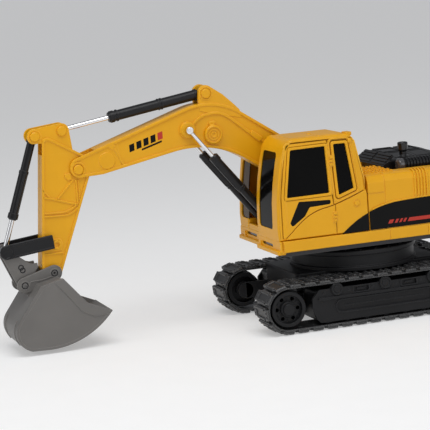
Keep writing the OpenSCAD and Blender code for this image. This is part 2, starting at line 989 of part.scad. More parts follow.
module arm_half(side) {
    color("#f0b41c")
        translate([0, boom_y, 0])
            mirror([0, side > 0 ? 0 : 1, 0])
                difference() {
                    union() {
                        slab(arm_outline(0), 0.02, arm_near);
                        cross_pin(hole_boss_at, hole_boss_r, arm_near - 1, arm_near + 0.15);
                        cross_pin(P_TIP, tip_boss_r, 0.02, arm_near);
                    }
                    difference() {
                        slab(arm_outline(wall), -1, arm_near - wall);
                        cross_pin(P_TIP, tip_boss_r, -1, arm_near);
                    }
                    cross_pin(P_TIP, head_pin_r - pin_shrink + run_gap, -1, arm_near + 1);
                    cross_pin(P_ROCKER, rocker_pin_r, -1, arm_near + 1);
                    cross_pin(P_BUCKET, bucket_pin_r, -1, arm_near + 1);
                    slab([[200, 150.5], [236.7, 170], [260, 170], [260, 130], [244.3, 150.5], [237, 150.5],
                          [218, 139]], -1, plate_out + 0.05);
                    cross_pin(P_BUCKET, 12, arm_near - 0.02, arm_near + 1);
                }
}

module arm_left() {
    arm_half(1);
}

module arm_right() {
    arm_half(-1);
}

// Two head plates that carry the bucket cylinder and the arm cylinder's rod
module arm_head_plates() {
    color("#f0b41c")
        translate([0, boom_y, 0])
            mirror_copy()
                difference() {
                    union() {
                        strap(P_HEAD, P_ROD, plate_r, plate_out - plate_t, plate_out);
                        slab([[P_HEAD[0] - 6, P_HEAD[1]], [P_ROD[0] - 5.2, P_ROD[1]], [219.4, 146],
                              [236, 153], [240, 154]], plate_out - plate_t, plate_out);
                    }
                    cross_pin(P_HEAD, plate_pin_r, 0, 12);
                    cross_pin(P_ROD, plate_pin_r, 0, 12);
                }
}

// Stub pins of the head plates, and the through pins of the rocker and the bucket
module arm_pins() {
    color("#f0b41c")
        translate([0, boom_y, 0]) {
            mirror_copy() {
                cross_pin(P_HEAD, plate_pin_r - pin_shrink, plate_out - plate_t - 0.6, plate_out + 0.2);
                cross_pin(P_ROD, plate_pin_r - pin_shrink, plate_out - plate_t - 0.6, plate_out + 0.2);
                cross_pin(P_HEAD, stub_head_r, plate_out + 0.05, plate_out + stub_head_t);
                cross_pin(P_ROD, stub_head_r, plate_out + 0.05, plate_out + stub_head_t);
            }
            cross_pin(P_ROCKER, rocker_pin_r - pin_shrink, -arm_near - 2.6, arm_near + 2.6);
            cross_pin(P_BUCKET, bucket_pin_r - pin_shrink, -arm_near - 3, arm_near + 3);
        }
}

arm_barrel_share = 0.6655;
bucket_barrel_share = 0.728;

module arm_cylinder_barrel() {
    l = dist(P_BRACKET, P_ROD);
    end = l * arm_barrel_share;
    color("#191a1c")
        translate([0, boom_y, 0])
            difference() {
                union() {
                    cross_pin(P_BRACKET, 4.2, -3.4, 3.4);
                    along(P_BRACKET, P_ROD, 0) {
                        bar(arm_barrel_r, 3.5, end);
                        bar(arm_barrel_r + big_collar_over, l * 0.29, l * 0.29 + 3);
                        bar(arm_barrel_r + big_collar_over, end - 5.5, end - 1);
                    }
                }
                cross_pin(P_BRACKET, head_pin_r - pin_shrink + run_gap, -9, 9);
                along(P_BRACKET, P_ROD, 0)
                    bar(thick_rod_r + run_gap, 14, end + 1);
            }
}

module arm_cylinder_rod() {
    l = dist(P_BRACKET, P_ROD);
    color("#d8dadd")
        translate([0, boom_y, 0])
            union() {
                along(P_BRACKET, P_ROD, 0)
                    bar(thick_rod_r, 40, l);
                cross_pin(P_ROD, 3, -2, 2);
            }
}

module bucket_cylinder_barrel() {
    l = dist(P_HEAD, P_JOINT);
    end = l * bucket_barrel_share;
    color("#191a1c")
        translate([0, boom_y, 0])
            difference() {
                union() {
                    cross_pin(P_HEAD, 3.2, -2.4, 2.4);
                    along(P_HEAD, P_JOINT, 0) {
                        bar(bucket_barrel_r, 2, end);
                        bar(bucket_barrel_r + big_collar_over, l * 0.3, l * 0.3 + 2.5);
                        bar(bucket_barrel_r + big_collar_over, end - 5, end - 0.5);
                    }
                }
                along(P_HEAD, P_JOINT, 0)
                    bar(thick_rod_r + run_gap, 12, end + 1);
            }
}

module bucket_cylinder_rod() {
    l = dist(P_HEAD, P_JOINT);
    color("#d8dadd")
        translate([0, boom_y, 0])
            difference() {
                union() {
                    along(P_HEAD, P_JOINT, 0)
                        bar(thick_rod_r, 34, l - 3);
                    cross_pin(P_JOINT, 3.6, -1.6, 1.6);
                }
                cross_pin(P_JOINT, joint_pin_r + 0.03 + run_gap, -5, 5);
            }
}

// ---------- bucket linkage ----------

joint_pin_r = 1.45;
rocker_in = arm_near + 0.35;
rocker_out = rocker_in + 2.1;
link_in = 4.8;
strap_r = 5.1;
link_r = 4.6;
link_turn = angle(P_JOINT, P_LINK);

module rocker() {
    l = dist(P_ROCKER, P_JOINT);
    color("#1e1f21")
        translate([0, boom_y, 0])
            mirror_copy()
                difference() {
                    along(P_ROCKER, P_JOINT, 0)
                        slab(concat([[-3, -strap_r]], arc([l, 0], strap_r, -90, 90), [[-3, strap_r]]),
                             rocker_in, rocker_out);
                    cross_pin(P_ROCKER, rocker_pin_r - pin_shrink + run_gap, 0, rocker_out + 1);
                    cross_pin(P_JOINT, joint_pin_r + 0.01, 0, rocker_out + 1);
                }
}

module rocker_pin() {
    color("#8c9094")
        translate([0, boom_y, 0])
            cross_pin(P_JOINT, joint_pin_r, -rocker_out + 0.2, rocker_out - 0.2);
}

// H-shaped link between the rocker and the bucket's ears
module bucket_link() {
    color("#6f6e6a")
        translate([0, boom_y, 0])
            difference() {
                union() {
                    mirror_copy()
                        slab(concat(arc(P_JOINT, link_r, link_turn + 90, link_turn + 270),
                                    [[266.4, 73], [262, 69.5], [256.5, 67.5], [253, 68.5], [252.8, 65]],
                                    arc(P_LINK, link_r, link_turn + 270, link_turn + 450)),
                             link_in, link_in + 2);
                    slab([[264, 67], [259, 65], [261, 60], [265, 62]], -link_in - 0.5, link_in + 0.5);
                }
                cross_pin(P_JOINT, joint_pin_r + run_gap, -12, 12);
                cross_pin(P_LINK, 2.7, -12, 12);
            }
}

floor_c = [252, 67.5];
floor_r = 64.5;
heel_c = [262, 18];
heel_r = 15;
mouth_top = [238.6, 56];
mouth_low = [220.5, 35.2];
lip = [203, 27.4];
back_top = [256, 51.6];
ear_r = 6;
link_pin_r = 1.5;
ear_in = arm_near + 0.3;
ear_out = ear_in + 2.4;

// Side outline of the bucket, shrunk by d along its floor and back
function bucket_outline(d) = concat(
    [back_top + [-d, 0], mouth_top, mouth_low, lip],
    arc(floor_c, floor_r - d, 219.6, 270),
    arc(heel_c, heel_r - d, 285, 397)
);

module bucket() {
    half = bucket_w / 2;
    color("#706e69")
        translate([0, boom_y, 0])
            difference() {
                union() {
                    difference() {
                        slab(bucket_outline(0), -half, half);
                        slab(concat(
                                [back_top + [-bucket_wall, -bucket_wall], [248.5, 51], [248.5, 66]],
                                [mouth_top + [-30, 12], lip + [-12, 12], lip + [1.2, 1.4]],
                                arc(floor_c, floor_r - bucket_wall, 221, 270),
                                arc(heel_c, heel_r - bucket_wall, 285, 397)),
                            -half + bucket_wall, half - bucket_wall);
                    }
                    mirror_copy() {
                        strap(P_BUCKET, P_LINK, ear_r, ear_in, ear_out);
                        slab([[239, 54], [266, 49], [262, 42], [246, 52]], ear_in + 0.4, ear_out - 0.6);
                    }
                }
                cross_pin(P_BUCKET, bucket_pin_r - pin_shrink + run_gap, -half, half);
                cross_pin(P_LINK, link_pin_r, -half, half);
            }
}

module bucket_pin() {
    color("#4a4a48")
        translate([0, boom_y, 0])
            cross_pin(P_LINK, link_pin_r - pin_shrink, -ear_out - 0.4, ear_out + 0.4);
}

// ---------- output ----------

chassis_top();
chassis_bottom();
battery_pack();
battery_door();
side_frame_left();
side_frame_right();
track_left();
track_right();
slew_ring_gear();
drive_gearboxes();
drive_motors();
chassis_screws();
power_switch();
front_wheel_left();
front_wheel_right();
drive_wheel_left();
drive_wheel_right();
slew_plate();
house_tray();
cab_shell();
windscreen();
door_window();
quarter_window();
seat();
control_console();
right_module();
module_window();
body_side_left();
body_side_right();
engine_deck();
engine_hood();
exhaust_stack();
air_cleaner();
counterweight();
boom_foot_pin();
slew_motor();
boom_gearmotor();
circuit_board();
house_screws();
slew_pinion();
boom_left();
boom_right();
boom_port_caps();
boom_pins();
arm_gearmotor();
arm_left();
arm_right();
arm_head_plates();
arm_pins();
boom_cylinder_rods();
boom_cylinder_barrels();
arm_cylinder_barrel();
arm_cylinder_rod();
bucket_cylinder_rod();
bucket_cylinder_barrel();
rocker();
rocker_pin();
bucket_link();
bucket();
bucket_pin();
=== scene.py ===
"""Toy tracked excavator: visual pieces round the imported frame, with a studio and a camera."""

import json
import math

import bmesh
import bpy
from mathutils import Matrix, Vector
from mathutils.geometry import tessellate_polygon


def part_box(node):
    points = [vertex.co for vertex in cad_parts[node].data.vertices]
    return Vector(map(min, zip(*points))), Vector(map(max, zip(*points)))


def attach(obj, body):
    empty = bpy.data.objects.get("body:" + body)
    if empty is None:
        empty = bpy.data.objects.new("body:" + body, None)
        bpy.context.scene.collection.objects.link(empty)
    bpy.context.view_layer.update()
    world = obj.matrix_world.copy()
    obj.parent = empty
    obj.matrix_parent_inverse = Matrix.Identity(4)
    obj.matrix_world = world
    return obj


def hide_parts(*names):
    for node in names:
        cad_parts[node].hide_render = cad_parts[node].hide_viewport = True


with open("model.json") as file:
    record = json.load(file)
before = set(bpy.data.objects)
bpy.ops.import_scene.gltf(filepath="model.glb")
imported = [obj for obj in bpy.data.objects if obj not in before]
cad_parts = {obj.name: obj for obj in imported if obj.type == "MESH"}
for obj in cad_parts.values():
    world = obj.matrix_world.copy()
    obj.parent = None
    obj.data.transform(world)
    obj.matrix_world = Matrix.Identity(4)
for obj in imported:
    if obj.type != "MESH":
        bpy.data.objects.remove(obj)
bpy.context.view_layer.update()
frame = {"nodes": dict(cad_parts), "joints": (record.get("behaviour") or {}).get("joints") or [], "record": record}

MM = 0.001
SIDE, PLAN, FRONT = "side", "plan", "front"

# ---------- outlines, in millimetres ----------


def arc(centre, radius, start, end, step=6.0):
    count = max(1, math.ceil(abs(end - start) / step))
    turns = [math.radians(start + (end - start) * i / count) for i in range(count + 1)]
    return [(centre[0] + radius * math.cos(t), centre[1] + radius * math.sin(t)) for t in turns]


def disc(centre, radius, step=10.0):
    return arc(centre, radius, 0, 360 - step, step)


def area(loop):
    return 0.5 * sum(a[0] * b[1] - b[0] * a[1] for a, b in zip(loop, loop[1:] + loop[:1]))


def inset(loop, depth):
    """The loop moved to the left of its own direction by depth."""
    out = []
    count = len(loop)
    for i in range(count):
        before, here, after = (Vector(loop[(i + k) % count]) for k in (-1, 0, 1))
        into, away = (here - before), (after - here)
        if into.length < 1e-6 or away.length < 1e-6:
            out.append(tuple(here))
            continue
        into.normalize()
        away.normalize()
        left_a = Vector((-into.y, into.x))
        left_b = Vector((-away.y, away.x))
        middle = left_a + left_b
        if middle.length < 1e-4:
            out.append(tuple(here))
            continue
        middle.normalize()
        out.append(tuple(here + middle * (depth / max(0.4, middle.dot(left_a)))))
    return out


def fillet(loop, radius, step=15.0):
    """Rounds the corners of a closed outline; radius is one number or one a corner."""
    out = []
    count = len(loop)
    for i in range(count):
        size = radius[i] if isinstance(radius, (list, tuple)) else radius
        here = Vector(loop[i])
        back = Vector(loop[i - 1]) - here
        on = Vector(loop[(i + 1) % count]) - here
        room = 0.47 * min(back.length, on.length)
        back.normalize()
        on.normalize()
        corner = back.angle(on)
        if size <= 0 or corner > math.radians(174):
            out.append(tuple(here))
            continue
        reach = min(size / math.tan(corner / 2), room)
        real = reach * math.tan(corner / 2)
        centre = here + (back + on).normalized() * real / math.sin(corner / 2)
        first = here + back * reach - centre
        last = here + on * reach - centre
        turn = math.atan2(first.x * last.y - first.y * last.x, first.dot(last))
        pieces = max(1, math.ceil(abs(math.degrees(turn)) / step))
        for k in range(pieces + 1):
            t = turn * k / pieces
            out.append((centre.x + first.x * math.cos(t) - first.y * math.sin(t),
                        centre.y + first.x * math.sin(t) + first.y * math.cos(t)))
    return out


def clip(loop, limit, keep_below=True):
    """The part of a loop with its first coordinate below (or above) limit."""
    out = []
    for a, b in zip(loop, loop[1:] + loop[:1]):
        a_in = (a[0] <= limit) == keep_below
        b_in = (b[0] <= limit) == keep_below
        if a_in:
            out.append(a)
        if a_in != b_in:
            t = (limit - a[0]) / (b[0] - a[0])
            out.append((limit, a[1] + t * (b[1] - a[1])))
    return out


def smooth(points, count=6):
    """A Catmull-Rom line through the points."""
    ends = [points[0]] + list(points) + [points[-1]]
    out = []
    for i in range(1, len(ends) - 2):
        p0, p1, p2, p3 = (Vector(ends[i + k]) for k in (-1, 0, 1, 2))
        for k in range(count):
            t = k / count
            out.append(tuple(0.5 * (2 * p1 + (p2 - p0) * t + (2 * p0 - 5 * p1 + 4 * p2 - p3) * t * t
                                    + (3 * p1 - p0 - 3 * p2 + p3) * t ** 3)))
    return out + [tuple(points[-1])]


def strip(points, width, end_width=None):
    """The outline of a band of the given width along a line of points."""
    end_width = width if end_width is None else end_width
    left, right = [], []
    last = len(points) - 1
    for i, point in enumerate(points):
        a = Vector(points[max(0, i - 1)])
        b = Vector(points[min(last, i + 1)])
        along = (b - a).normalized()
        half = 0.5 * (width + (end_width - width) * i / max(1, last))
        left.append(tuple(Vector(point) + Vector((-along.y, along.x)) * half))
        right.append(tuple(Vector(point) - Vector((-along.y, along.x)) * half))
    return right + left[::-1]


def box_loop(u0, v0, u1, v1, radius=0.0):
    """A rectangle, with rounded corners where radius isn't zero."""
    loop = [(u0, v0), (u1, v0), (u1, v1), (u0, v1)]
    return fillet(loop, radius) if radius > 0 else loop


def pill(p, q, radius):
    """The outline of a strap with round ends at p and q."""
    turn = math.degrees(math.atan2(q[1] - p[1], q[0] - p[0]))
    return arc(q, radius, turn - 90, turn + 90, 10) + arc(p, radius, turn + 90, turn + 270, 10)


# ---------- solids ----------


def place(plane, u, v, w):
    """A point given in a drawing plane, with w its height over that plane."""
    if plane == SIDE:
        return Vector((u, w, v))
    if plane == PLAN:
        return Vector((u, v, w))
    return Vector((w, u, v))


class Piece:
    """A visual piece made of closed shells. Lengths are in millimetres until done()."""

    def __init__(self, name, body=None, finish=None, hides=(), slot=None):
        self.name, self.body, self.finish, self.hides = name, body, finish, hides
        self.slot = slot or SLOT_OF.get(finish.name if finish else None)
        self.mesh = bmesh.new()
        self.flip = 1

    def shell(self, verts, faces, at=None):
        made = [self.mesh.verts.new(at @ v if at else v) for v in verts]
        if self.flip < 0:
            for v in made:
                v.co.y = -v.co.y
        new = []
        for f in faces:
            try:
                new.append(self.mesh.faces.new([made[i] for i in f]))
            except ValueError:
                pass
        bmesh.ops.recalc_face_normals(self.mesh, faces=new)
        return self

    def plate(self, loops, low, high, soft=0.3, plane=SIDE, at=None, rings=3):
        """A plate with rounded edges. The first loop is its outline and the rest are holes."""
        loops = [list(l) if (area(l) > 0) == (i == 0) else list(l)[::-1]
                 for i, l in enumerate(loops)]
        radius = min(soft, (high - low) * 0.49)
        heights = {low, high}
        if radius > 0.01:
            for k in range(rings + 1):
                rise = radius * (1 - math.cos(math.pi / 2 * k / rings))
                heights.add(round(low + rise, 5))
                heights.add(round(high - rise, 5))
        heights = sorted(heights)
        levels = [heights[0]]
        for h in heights[1:-1]:
            if h - levels[-1] > 0.004 and heights[-1] - h > 0.004:
                levels.append(h)
        levels.append(heights[-1])

        def depth_at(h):
            reach = min(h - low, high - h)
            if radius <= 0.01 or reach >= radius:
                return 0.0
            return radius - math.sqrt(max(0.0, radius * radius - (radius - reach) ** 2))

        verts, faces, starts, ends = [], [], [], []
        for h in levels:
            starts.append(len(verts))
            for l in loops:
                depth = depth_at(h)
                shape = inset(l, depth) if depth > 1e-6 else l
                if h == levels[0]:
                    ends.append([Vector((u, v, 0)) for u, v in shape])
                verts += [place(plane, u, v, h) for u, v in shape]
        for a, b in zip(starts, starts[1:]):
            offset = 0
            for l in loops:
                n = len(l)
                for i in range(n):
                    j = (i + 1) % n
                    faces.append((a + offset + i, a + offset + j, b + offset + j, b + offset + i))
                offset += n
        for tri in tessellate_polygon(ends):
            faces.append(tuple(tri))
            faces.append(tuple(starts[-1] + i for i in reversed(tri)))
        return self.shell(verts, faces, at)

    def cut(self, *cutters):
        """Takes the cutters' solids away from this piece's."""
        def loose(mesh):
            data = bpy.data.meshes.new("work")
            mesh.to_mesh(data)
            made = bpy.data.objects.new("work", data)
            bpy.context.scene.collection.objects.link(made)
            return made

        own = loose(self.mesh)
        tools = [loose(c.mesh) for c in cutters]
        for tool in tools:
            away = own.modifiers.new("away", "BOOLEAN")
            away.operation, away.solver, away.object = "DIFFERENCE", "EXACT", tool
        graph = bpy.context.evaluated_depsgraph_get()
        result = bpy.data.meshes.new_from_object(own.evaluated_get(graph))
        self.mesh.clear()
        self.mesh.from_mesh(result)
        for made in [own] + tools:
            bpy.data.objects.remove(made)
        return self

    def block(self, low, high, soft=0.4, corner=None, plane=SIDE, at=None):
        """A rounded box between two corners given as (x, y, z)."""
        axes = {SIDE: (0, 2, 1), PLAN: (0, 1, 2), FRONT: (1, 2, 0)}[plane]
        u, v, w = axes
        corner = soft if corner is None else corner
        loop = box_loop(low[u], low[v], high[u], high[v], corner)
        return self.plate([loop], low[w], high[w], soft, plane, at)

    def bar(self, box, corner, *rest, **more):
        """A plate whose outline is the rectangle (u0, v0, u1, v1) with rounded corners."""
        return self.plate([box_loop(*box, corner)], *rest, **more)

    def lathe(self, profile, at, around=32):
        """A closed solid of revolution about local Z; profile holds (radius, height) points."""
        verts, rings = [], []
        for r, h in profile:
            if r < 1e-6:
                rings.append([len(verts)])
                verts.append(Vector((0, 0, h)))
            else:
                start = len(verts)
                for i in range(around):
                    t = 2 * math.pi * i / around
                    verts.append(Vector((r * math.cos(t), r * math.sin(t), h)))
                rings.append(list(range(start, start + around)))
        faces = []
        for a, b in zip(rings, rings[1:]):
            for i in range(around):
                j = (i + 1) % around
                if len(a) == 1 and len(b) == 1:
                    continue
                if len(a) == 1:
                    faces.append((a[0], b[i], b[j]))
                elif len(b) == 1:
                    faces.append((a[i], b[0], a[j]))
                else:
                    faces.append((a[i], b[i], b[j], a[j]))
        return self.shell(verts, faces, at)

    def turned(self, profile, at, soft=0.4, around=32):
        """A solid of revolution whose profile has rounded corners."""
        return self.lathe(soft_profile(profile, soft), at, around)

    def both(self, build):
        """Runs build for the left side and again mirrored in the piece's own centre plane."""
        build()
        self.flip = -1
        build()
        self.flip = 1

    def done(self, offset=0.0, sharp=38):
        """Makes the object, moved sideways by offset, and hands it to its body."""
        data = bpy.data.meshes.new(self.name)
        for v in self.mesh.verts:
            v.co = Vector((v.co.x, v.co.y + offset, v.co.z)) * MM
        self.mesh.to_mesh(data)
        self.mesh.free()
        for polygon in data.polygons:
            polygon.use_smooth = True
        data.set_sharp_from_angle(angle=math.radians(sharp))
        made = bpy.data.objects.new(self.name, data)
        bpy.context.scene.collection.objects.link(made)
        weigh = made.modifiers.new("weights", "WEIGHTED_NORMAL")
        weigh.keep_sharp = True
        data.materials.append(self.finish)
        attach(made, self.body)
        if self.hides:
            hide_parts(*self.hides)
        return made


def pin_at(point, y, outward=1):
    """A local frame at a side-view point with Z along +Y or -Y."""
    turn = Matrix.Rotation(math.radians(-90 if outward > 0 else 90), 4, "X")
    return Matrix.Translation((point[0], y, point[1])) @ turn


def along_at(p, q, y):
    """A local frame at p with Z towards q."""
    run = Vector((q[0] - p[0], 0, q[1] - p[1])).normalized()
    across = Vector((0, 1, 0))
    third = across.cross(run)
    turn = Matrix((
        (across.x, third.x, run.x, 0), (across.y, third.y, run.y, 0),
        (across.z, third.z, run.z, 0), (0, 0, 0, 1)))
    return Matrix.Translation((p[0], y, p[1])) @ turn


def rod_shape(radius, low, high):
    """The profile of a plain rod, for lathe and turned."""
    return [(0, low), (radius, low), (radius, high), (0, high)]


def ring_shape(inner, outer, low, high):
    """The profile of a plain ring, for lathe and turned."""
    return [(inner, low), (outer, low), (outer, high), (inner, high), (inner, low)]


def soft_profile(profile, radius):
    """Rounds the corners of an open profile."""
    out = [profile[0]]
    for i in range(1, len(profile) - 1):
        here = Vector(profile[i])
        back, on = Vector(profile[i - 1]) - here, Vector(profile[i + 1]) - here
        reach = min(radius, 0.45 * back.length, 0.45 * on.length)
        if back.length < 1e-6 or on.length < 1e-6 or reach < 0.02:
            out.append(tuple(here))
            continue
        a, b = here + back.normalized() * reach, here + on.normalized() * reach
        for k in range(4):
            t = k / 3
            out.append(tuple(a * (1 - t) ** 2 + here * 2 * t * (1 - t) + b * t * t))
    return out + [profile[-1]]


# ---------- materials ----------

SLOT_OF = {}


def finish(slot, name, colour, rough, vary=0.05, bump=0.03, metal=0.0, coat=0.0, edge_wear_and_highlight=None,
        grain=900.0, alpha=1.0, shine=0.5):
    """A procedural finish: mottled colour and roughness, fine bump, and lighter edges that stand for wear and for
    a painted highlight.
    """
    made = bpy.data.materials.new(name)
    SLOT_OF[made.name] = slot
    made.use_nodes = True
    tree = made.node_tree
    link = tree.links.new
    shader = tree.nodes["Principled BSDF"]

    def preset(node, values):
        for socket, value in values.items():
            node.inputs[socket].default_value = value
        return node

    def add(kind, **values):
        return preset(tree.nodes.new("ShaderNode" + kind),
            {k.replace("_", " "): v for k, v in values.items()})

    preset(shader, {"Metallic": metal, "Coat Weight": coat, "Specular IOR Level": shine,
                    "Coat Roughness": 0.12, "Alpha": alpha})
    where = add("TexCoord")
    cloud = add("TexNoise", Scale=45.0, Detail=4.0)
    link(where.outputs["Object"], cloud.inputs["Vector"])
    fine = add("TexNoise", Scale=grain, Detail=3.0)
    link(where.outputs["Object"], fine.inputs["Vector"])
    ramp = add("ValToRGB")
    low, high = ramp.color_ramp.elements
    low.position, high.position = 0.3, 0.7
    low.color = tuple(max(0.0, c * (1 - vary)) for c in colour) + (1,)
    high.color = tuple(min(1.0, c * (1 + vary)) for c in colour) + (1,)
    link(cloud.outputs["Fac"], ramp.inputs["Fac"])
    last = ramp.outputs["Color"]
    if edge_wear_and_highlight is not None:
        # where a bevelled normal leaves the true one, the edge is painted lighter: rubbed wear and a painted
        # highlight
        edge = add("Bevel", Radius=0.0006)
        edge.samples = 3
        plain = add("NewGeometry")
        dot = add("VectorMath")
        dot.operation = "DOT_PRODUCT"
        link(edge.outputs["Normal"], dot.inputs[0])
        link(plain.outputs["True Normal"], dot.inputs[1])
        span = add("MapRange", From_Min=0.97, From_Max=0.80, To_Min=0.0, To_Max=0.55)
        link(dot.outputs["Value"], span.inputs["Value"])
        blend = add("Mix")
        blend.data_type = "RGBA"
        blend.inputs["B"].default_value = tuple(edge_wear_and_highlight) + (1,)
        link(span.outputs["Result"], blend.inputs["Factor"])
        link(last, blend.inputs["A"])
        last = blend.outputs["Result"]
    link(last, shader.inputs["Base Color"])
    sheen = add("MapRange", To_Min=max(0.02, rough * 0.85), To_Max=min(1.0, rough * 1.18))
    link(cloud.outputs["Fac"], sheen.inputs["Value"])
    link(sheen.outputs["Result"], shader.inputs["Roughness"])
    relief = add("Bump", Strength=bump, Distance=0.0002)
    link(fine.outputs["Fac"], relief.inputs["Height"])
    link(relief.outputs["Normal"], shader.inputs["Normal"])
    return made


yellow = finish("yellow_plastic", "moulded_yellow", (0.80, 0.385, 0.006), 0.34, vary=0.03,
    coat=0.04, edge_wear_and_highlight=(0.95, 0.58, 0.08), shine=0.26)
# painted shade: a dark brown that stands in for the shade inside the seams between panels
seam_painted_shade = finish("yellow_plastic", "seam_painted_shade", (0.36, 0.155, 0.006), 0.6, vary=0.1, shine=0.1)
black = finish("black_plastic", "satin_black", (0.007, 0.007, 0.008), 0.34, vary=0.15, bump=0.05,
    edge_wear_and_highlight=(0.06, 0.06, 0.065), shine=0.3)
hood_black = finish("black_plastic", "hood_black", (0.006, 0.006, 0.0065), 0.36, vary=0.15,
    bump=0.05, edge_wear_and_highlight=(0.07, 0.07, 0.075), shine=0.22)
dark_grey = finish("grey_plastic", "dark_grey", (0.03, 0.03, 0.033), 0.45, vary=0.1, bump=0.06,
    edge_wear_and_highlight=(0.1, 0.1, 0.105), shine=0.4)
# the track's light grey edge colour is mostly a painted highlight on the pads' edges
track_black = finish("track_rubber", "track_rubber", (0.016, 0.016, 0.017), 0.4, vary=0.2,
    bump=0.1, edge_wear_and_highlight=(0.3, 0.3, 0.3), grain=600.0, shine=0.5)
frame_black = finish("undercarriage_plastic", "frame_black", (0.012, 0.012, 0.013), 0.44,
    vary=0.15, bump=0.08, edge_wear_and_highlight=(0.08, 0.08, 0.085), shine=0.2)
warm_grey = finish("bucket_plastic", "bucket_grey", (0.155, 0.147, 0.138), 0.46, vary=0.06,
    bump=0.1, edge_wear_and_highlight=(0.32, 0.3, 0.28), shine=0.4)
chrome = finish("rod_chrome", "plated_rod", (0.8, 0.8, 0.81), 0.2, vary=0.02, bump=0.005, metal=1.0)
steel = finish("steel", "plain_steel", (0.55, 0.55, 0.56), 0.32, vary=0.06, bump=0.02, metal=1.0)
pin_grey = finish("steel", "pin_grey", (0.12, 0.115, 0.11), 0.4, vary=0.08, bump=0.05,
    edge_wear_and_highlight=(0.3, 0.29, 0.28), shine=0.4)
smoke = finish("dark_window", "smoked_window", (0.003, 0.003, 0.003), 0.1, vary=0.1, bump=0.003,
    alpha=0.97, shine=0.06)
# painted shade: the brown tone stands in for yellow plastic in shadow behind the module's front
painted_shade_smoke = finish("dark_window", "painted_shade_window", (0.062, 0.03, 0.007), 0.14, vary=0.1,
    bump=0.003, alpha=0.95, shine=0.15)
gloss_black = finish("black_plastic", "gloss_black", (0.008, 0.008, 0.009), 0.18, vary=0.1,
    bump=0.01, coat=0.3, shine=0.4)
band_black = finish("black_plastic", "printed_black", (0.006, 0.006, 0.006), 0.5, vary=0.1,
    bump=0.02, shine=0.1)
band_red = finish("switch_red", "printed_red", (0.5, 0.035, 0.02), 0.42, vary=0.05, bump=0.02,
    shine=0.3)
# the cap's lighter edge colour is chiefly a painted highlight
filter_gloss = finish("grey_plastic", "filter_cap", (0.07, 0.07, 0.074), 0.2, vary=0.1, bump=0.02,
    coat=0.5, edge_wear_and_highlight=(0.25, 0.25, 0.26))
white_gear = finish("gear_plastic", "natural_gear", (0.75, 0.75, 0.72), 0.45, vary=0.04,
    edge_wear_and_highlight=(0.85, 0.85, 0.83))
board = finish("board_green", "board_green", (0.03, 0.2, 0.08), 0.35, vary=0.1, bump=0.05)
cell = finish("cell_blue", "cell_wrap", (0.04, 0.13, 0.45), 0.3, vary=0.05, bump=0.02)
red = finish("switch_red", "switch_red", (0.6, 0.04, 0.03), 0.35, vary=0.05, edge_wear_and_highlight=(0.8, 0.3, 0.25))

SLOT_FINISH = {"yellow_plastic": yellow, "black_plastic": black,
    "undercarriage_plastic": frame_black, "track_rubber": track_black, "dark_window": smoke,
    "grey_plastic": dark_grey, "bucket_plastic": warm_grey, "rod_chrome": chrome,
    "gear_plastic": white_gear, "steel": steel, "board_green": board, "cell_blue": cell,
    "switch_red": red,}
for entry in frame["record"]["subparts"]:
    carried = frame["nodes"][entry["node"]]
    carried.data.materials.clear()
    carried.data.materials.append(SLOT_FINISH[entry["material_slot"]])
    for polygon in carried.data.polygons:
        polygon.material_index = 0
    soften = carried.modifiers.new("soften", "BEVEL")
    soften.width = 0.0002
    soften.segments = 2
    soften.limit_method = "ANGLE"
    soften.angle_limit = math.radians(40)

# ---------- pivots ----------


def box_mm(node):
    """A node's two box corners, in millimetres."""
    return [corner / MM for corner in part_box(node)]


joint_at = {j["name"]: (j["pos_m"][0] / MM, j["pos_m"][2] / MM)
            for j in frame["joints"] if j["type"] == "hinge"}
BOOM_Y = [j["pos_m"][1] / MM for j in frame["joints"] if j["name"] == "boom_lift"][0]
FOOT, EYE, TIP = joint_at["boom_lift"], joint_at["boom_rod_swing"], joint_at["arm_swing"]
BRACKET, BUCKET = joint_at["arm_cylinder_swing"], joint_at["bucket_curl"]
ROCKER = joint_at["rocker_swing"]
JOINT = joint_at["bucket_rod_swing"]
pin_low, pin_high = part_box("bucket_pin")
LINK = tuple(((pin_low + pin_high) / 2 / MM).xz)
BASE = (62.0, 72.8)     # lower eyes of the boom cylinders
ROD = (226.1, 163.9)    # rod eye of the arm cylinder
HEAD = (247.0, 161.6)   # upper eye of the bucket cylinder
BOOM_HALF = 8.5
ARM_HALF = 7.0
FORK_HALF = 7.2         # half the gap between the boom's tip plates
CYL_Y = 12.5            # boom cylinders, from the boom's centre plane
SLOT_HALF = 16.5        # half the slot the boom swings in
SLOT_LEFT = BOOM_Y + SLOT_HALF
SLOT_RIGHT = BOOM_Y - SLOT_HALF


def sided(name, side):
    """The name of the left or right copy of a node."""
    return name + ("_left" if side > 0 else "_right")


def knob(piece, point, radius, low, high, dish=0.0):
    """A round head standing out of a face, from low to high in local Y, with a soft rim."""
    top = [(radius - 0.1, high - 0.5), (radius - 0.6, high), (0, high)]
    if dish > 0:
        top = [(radius - 0.1, high - 0.4), (radius - 0.5, high), (radius - 1.1, high),
            (radius - 1.4, high - dish), (0, high - dish)]
    piece.turned([(0, low), (radius, low), (radius, high - 0.6)] + top, pin_at(point, 0), 0.25)


# ---------- boom ----------

PORT = (107.5, 149.5)
EAR_RADIUS = 6.3
PIN_RADIUS = 2.45


def boom_outline():
    top_c, low_c, nose_c = (113, 122), (125, 62), (214.8, 135.1)
    return (arc(nose_c, 7.6, -90, 71.7, 8) + arc(top_c, 52, 71.7, 124, 3) + [(48, 141)]
            + arc(FOOT, 10, 128, 300, 10) + arc(low_c, 78.8, 128, 78.7, 3) + [(197, 128.3)])


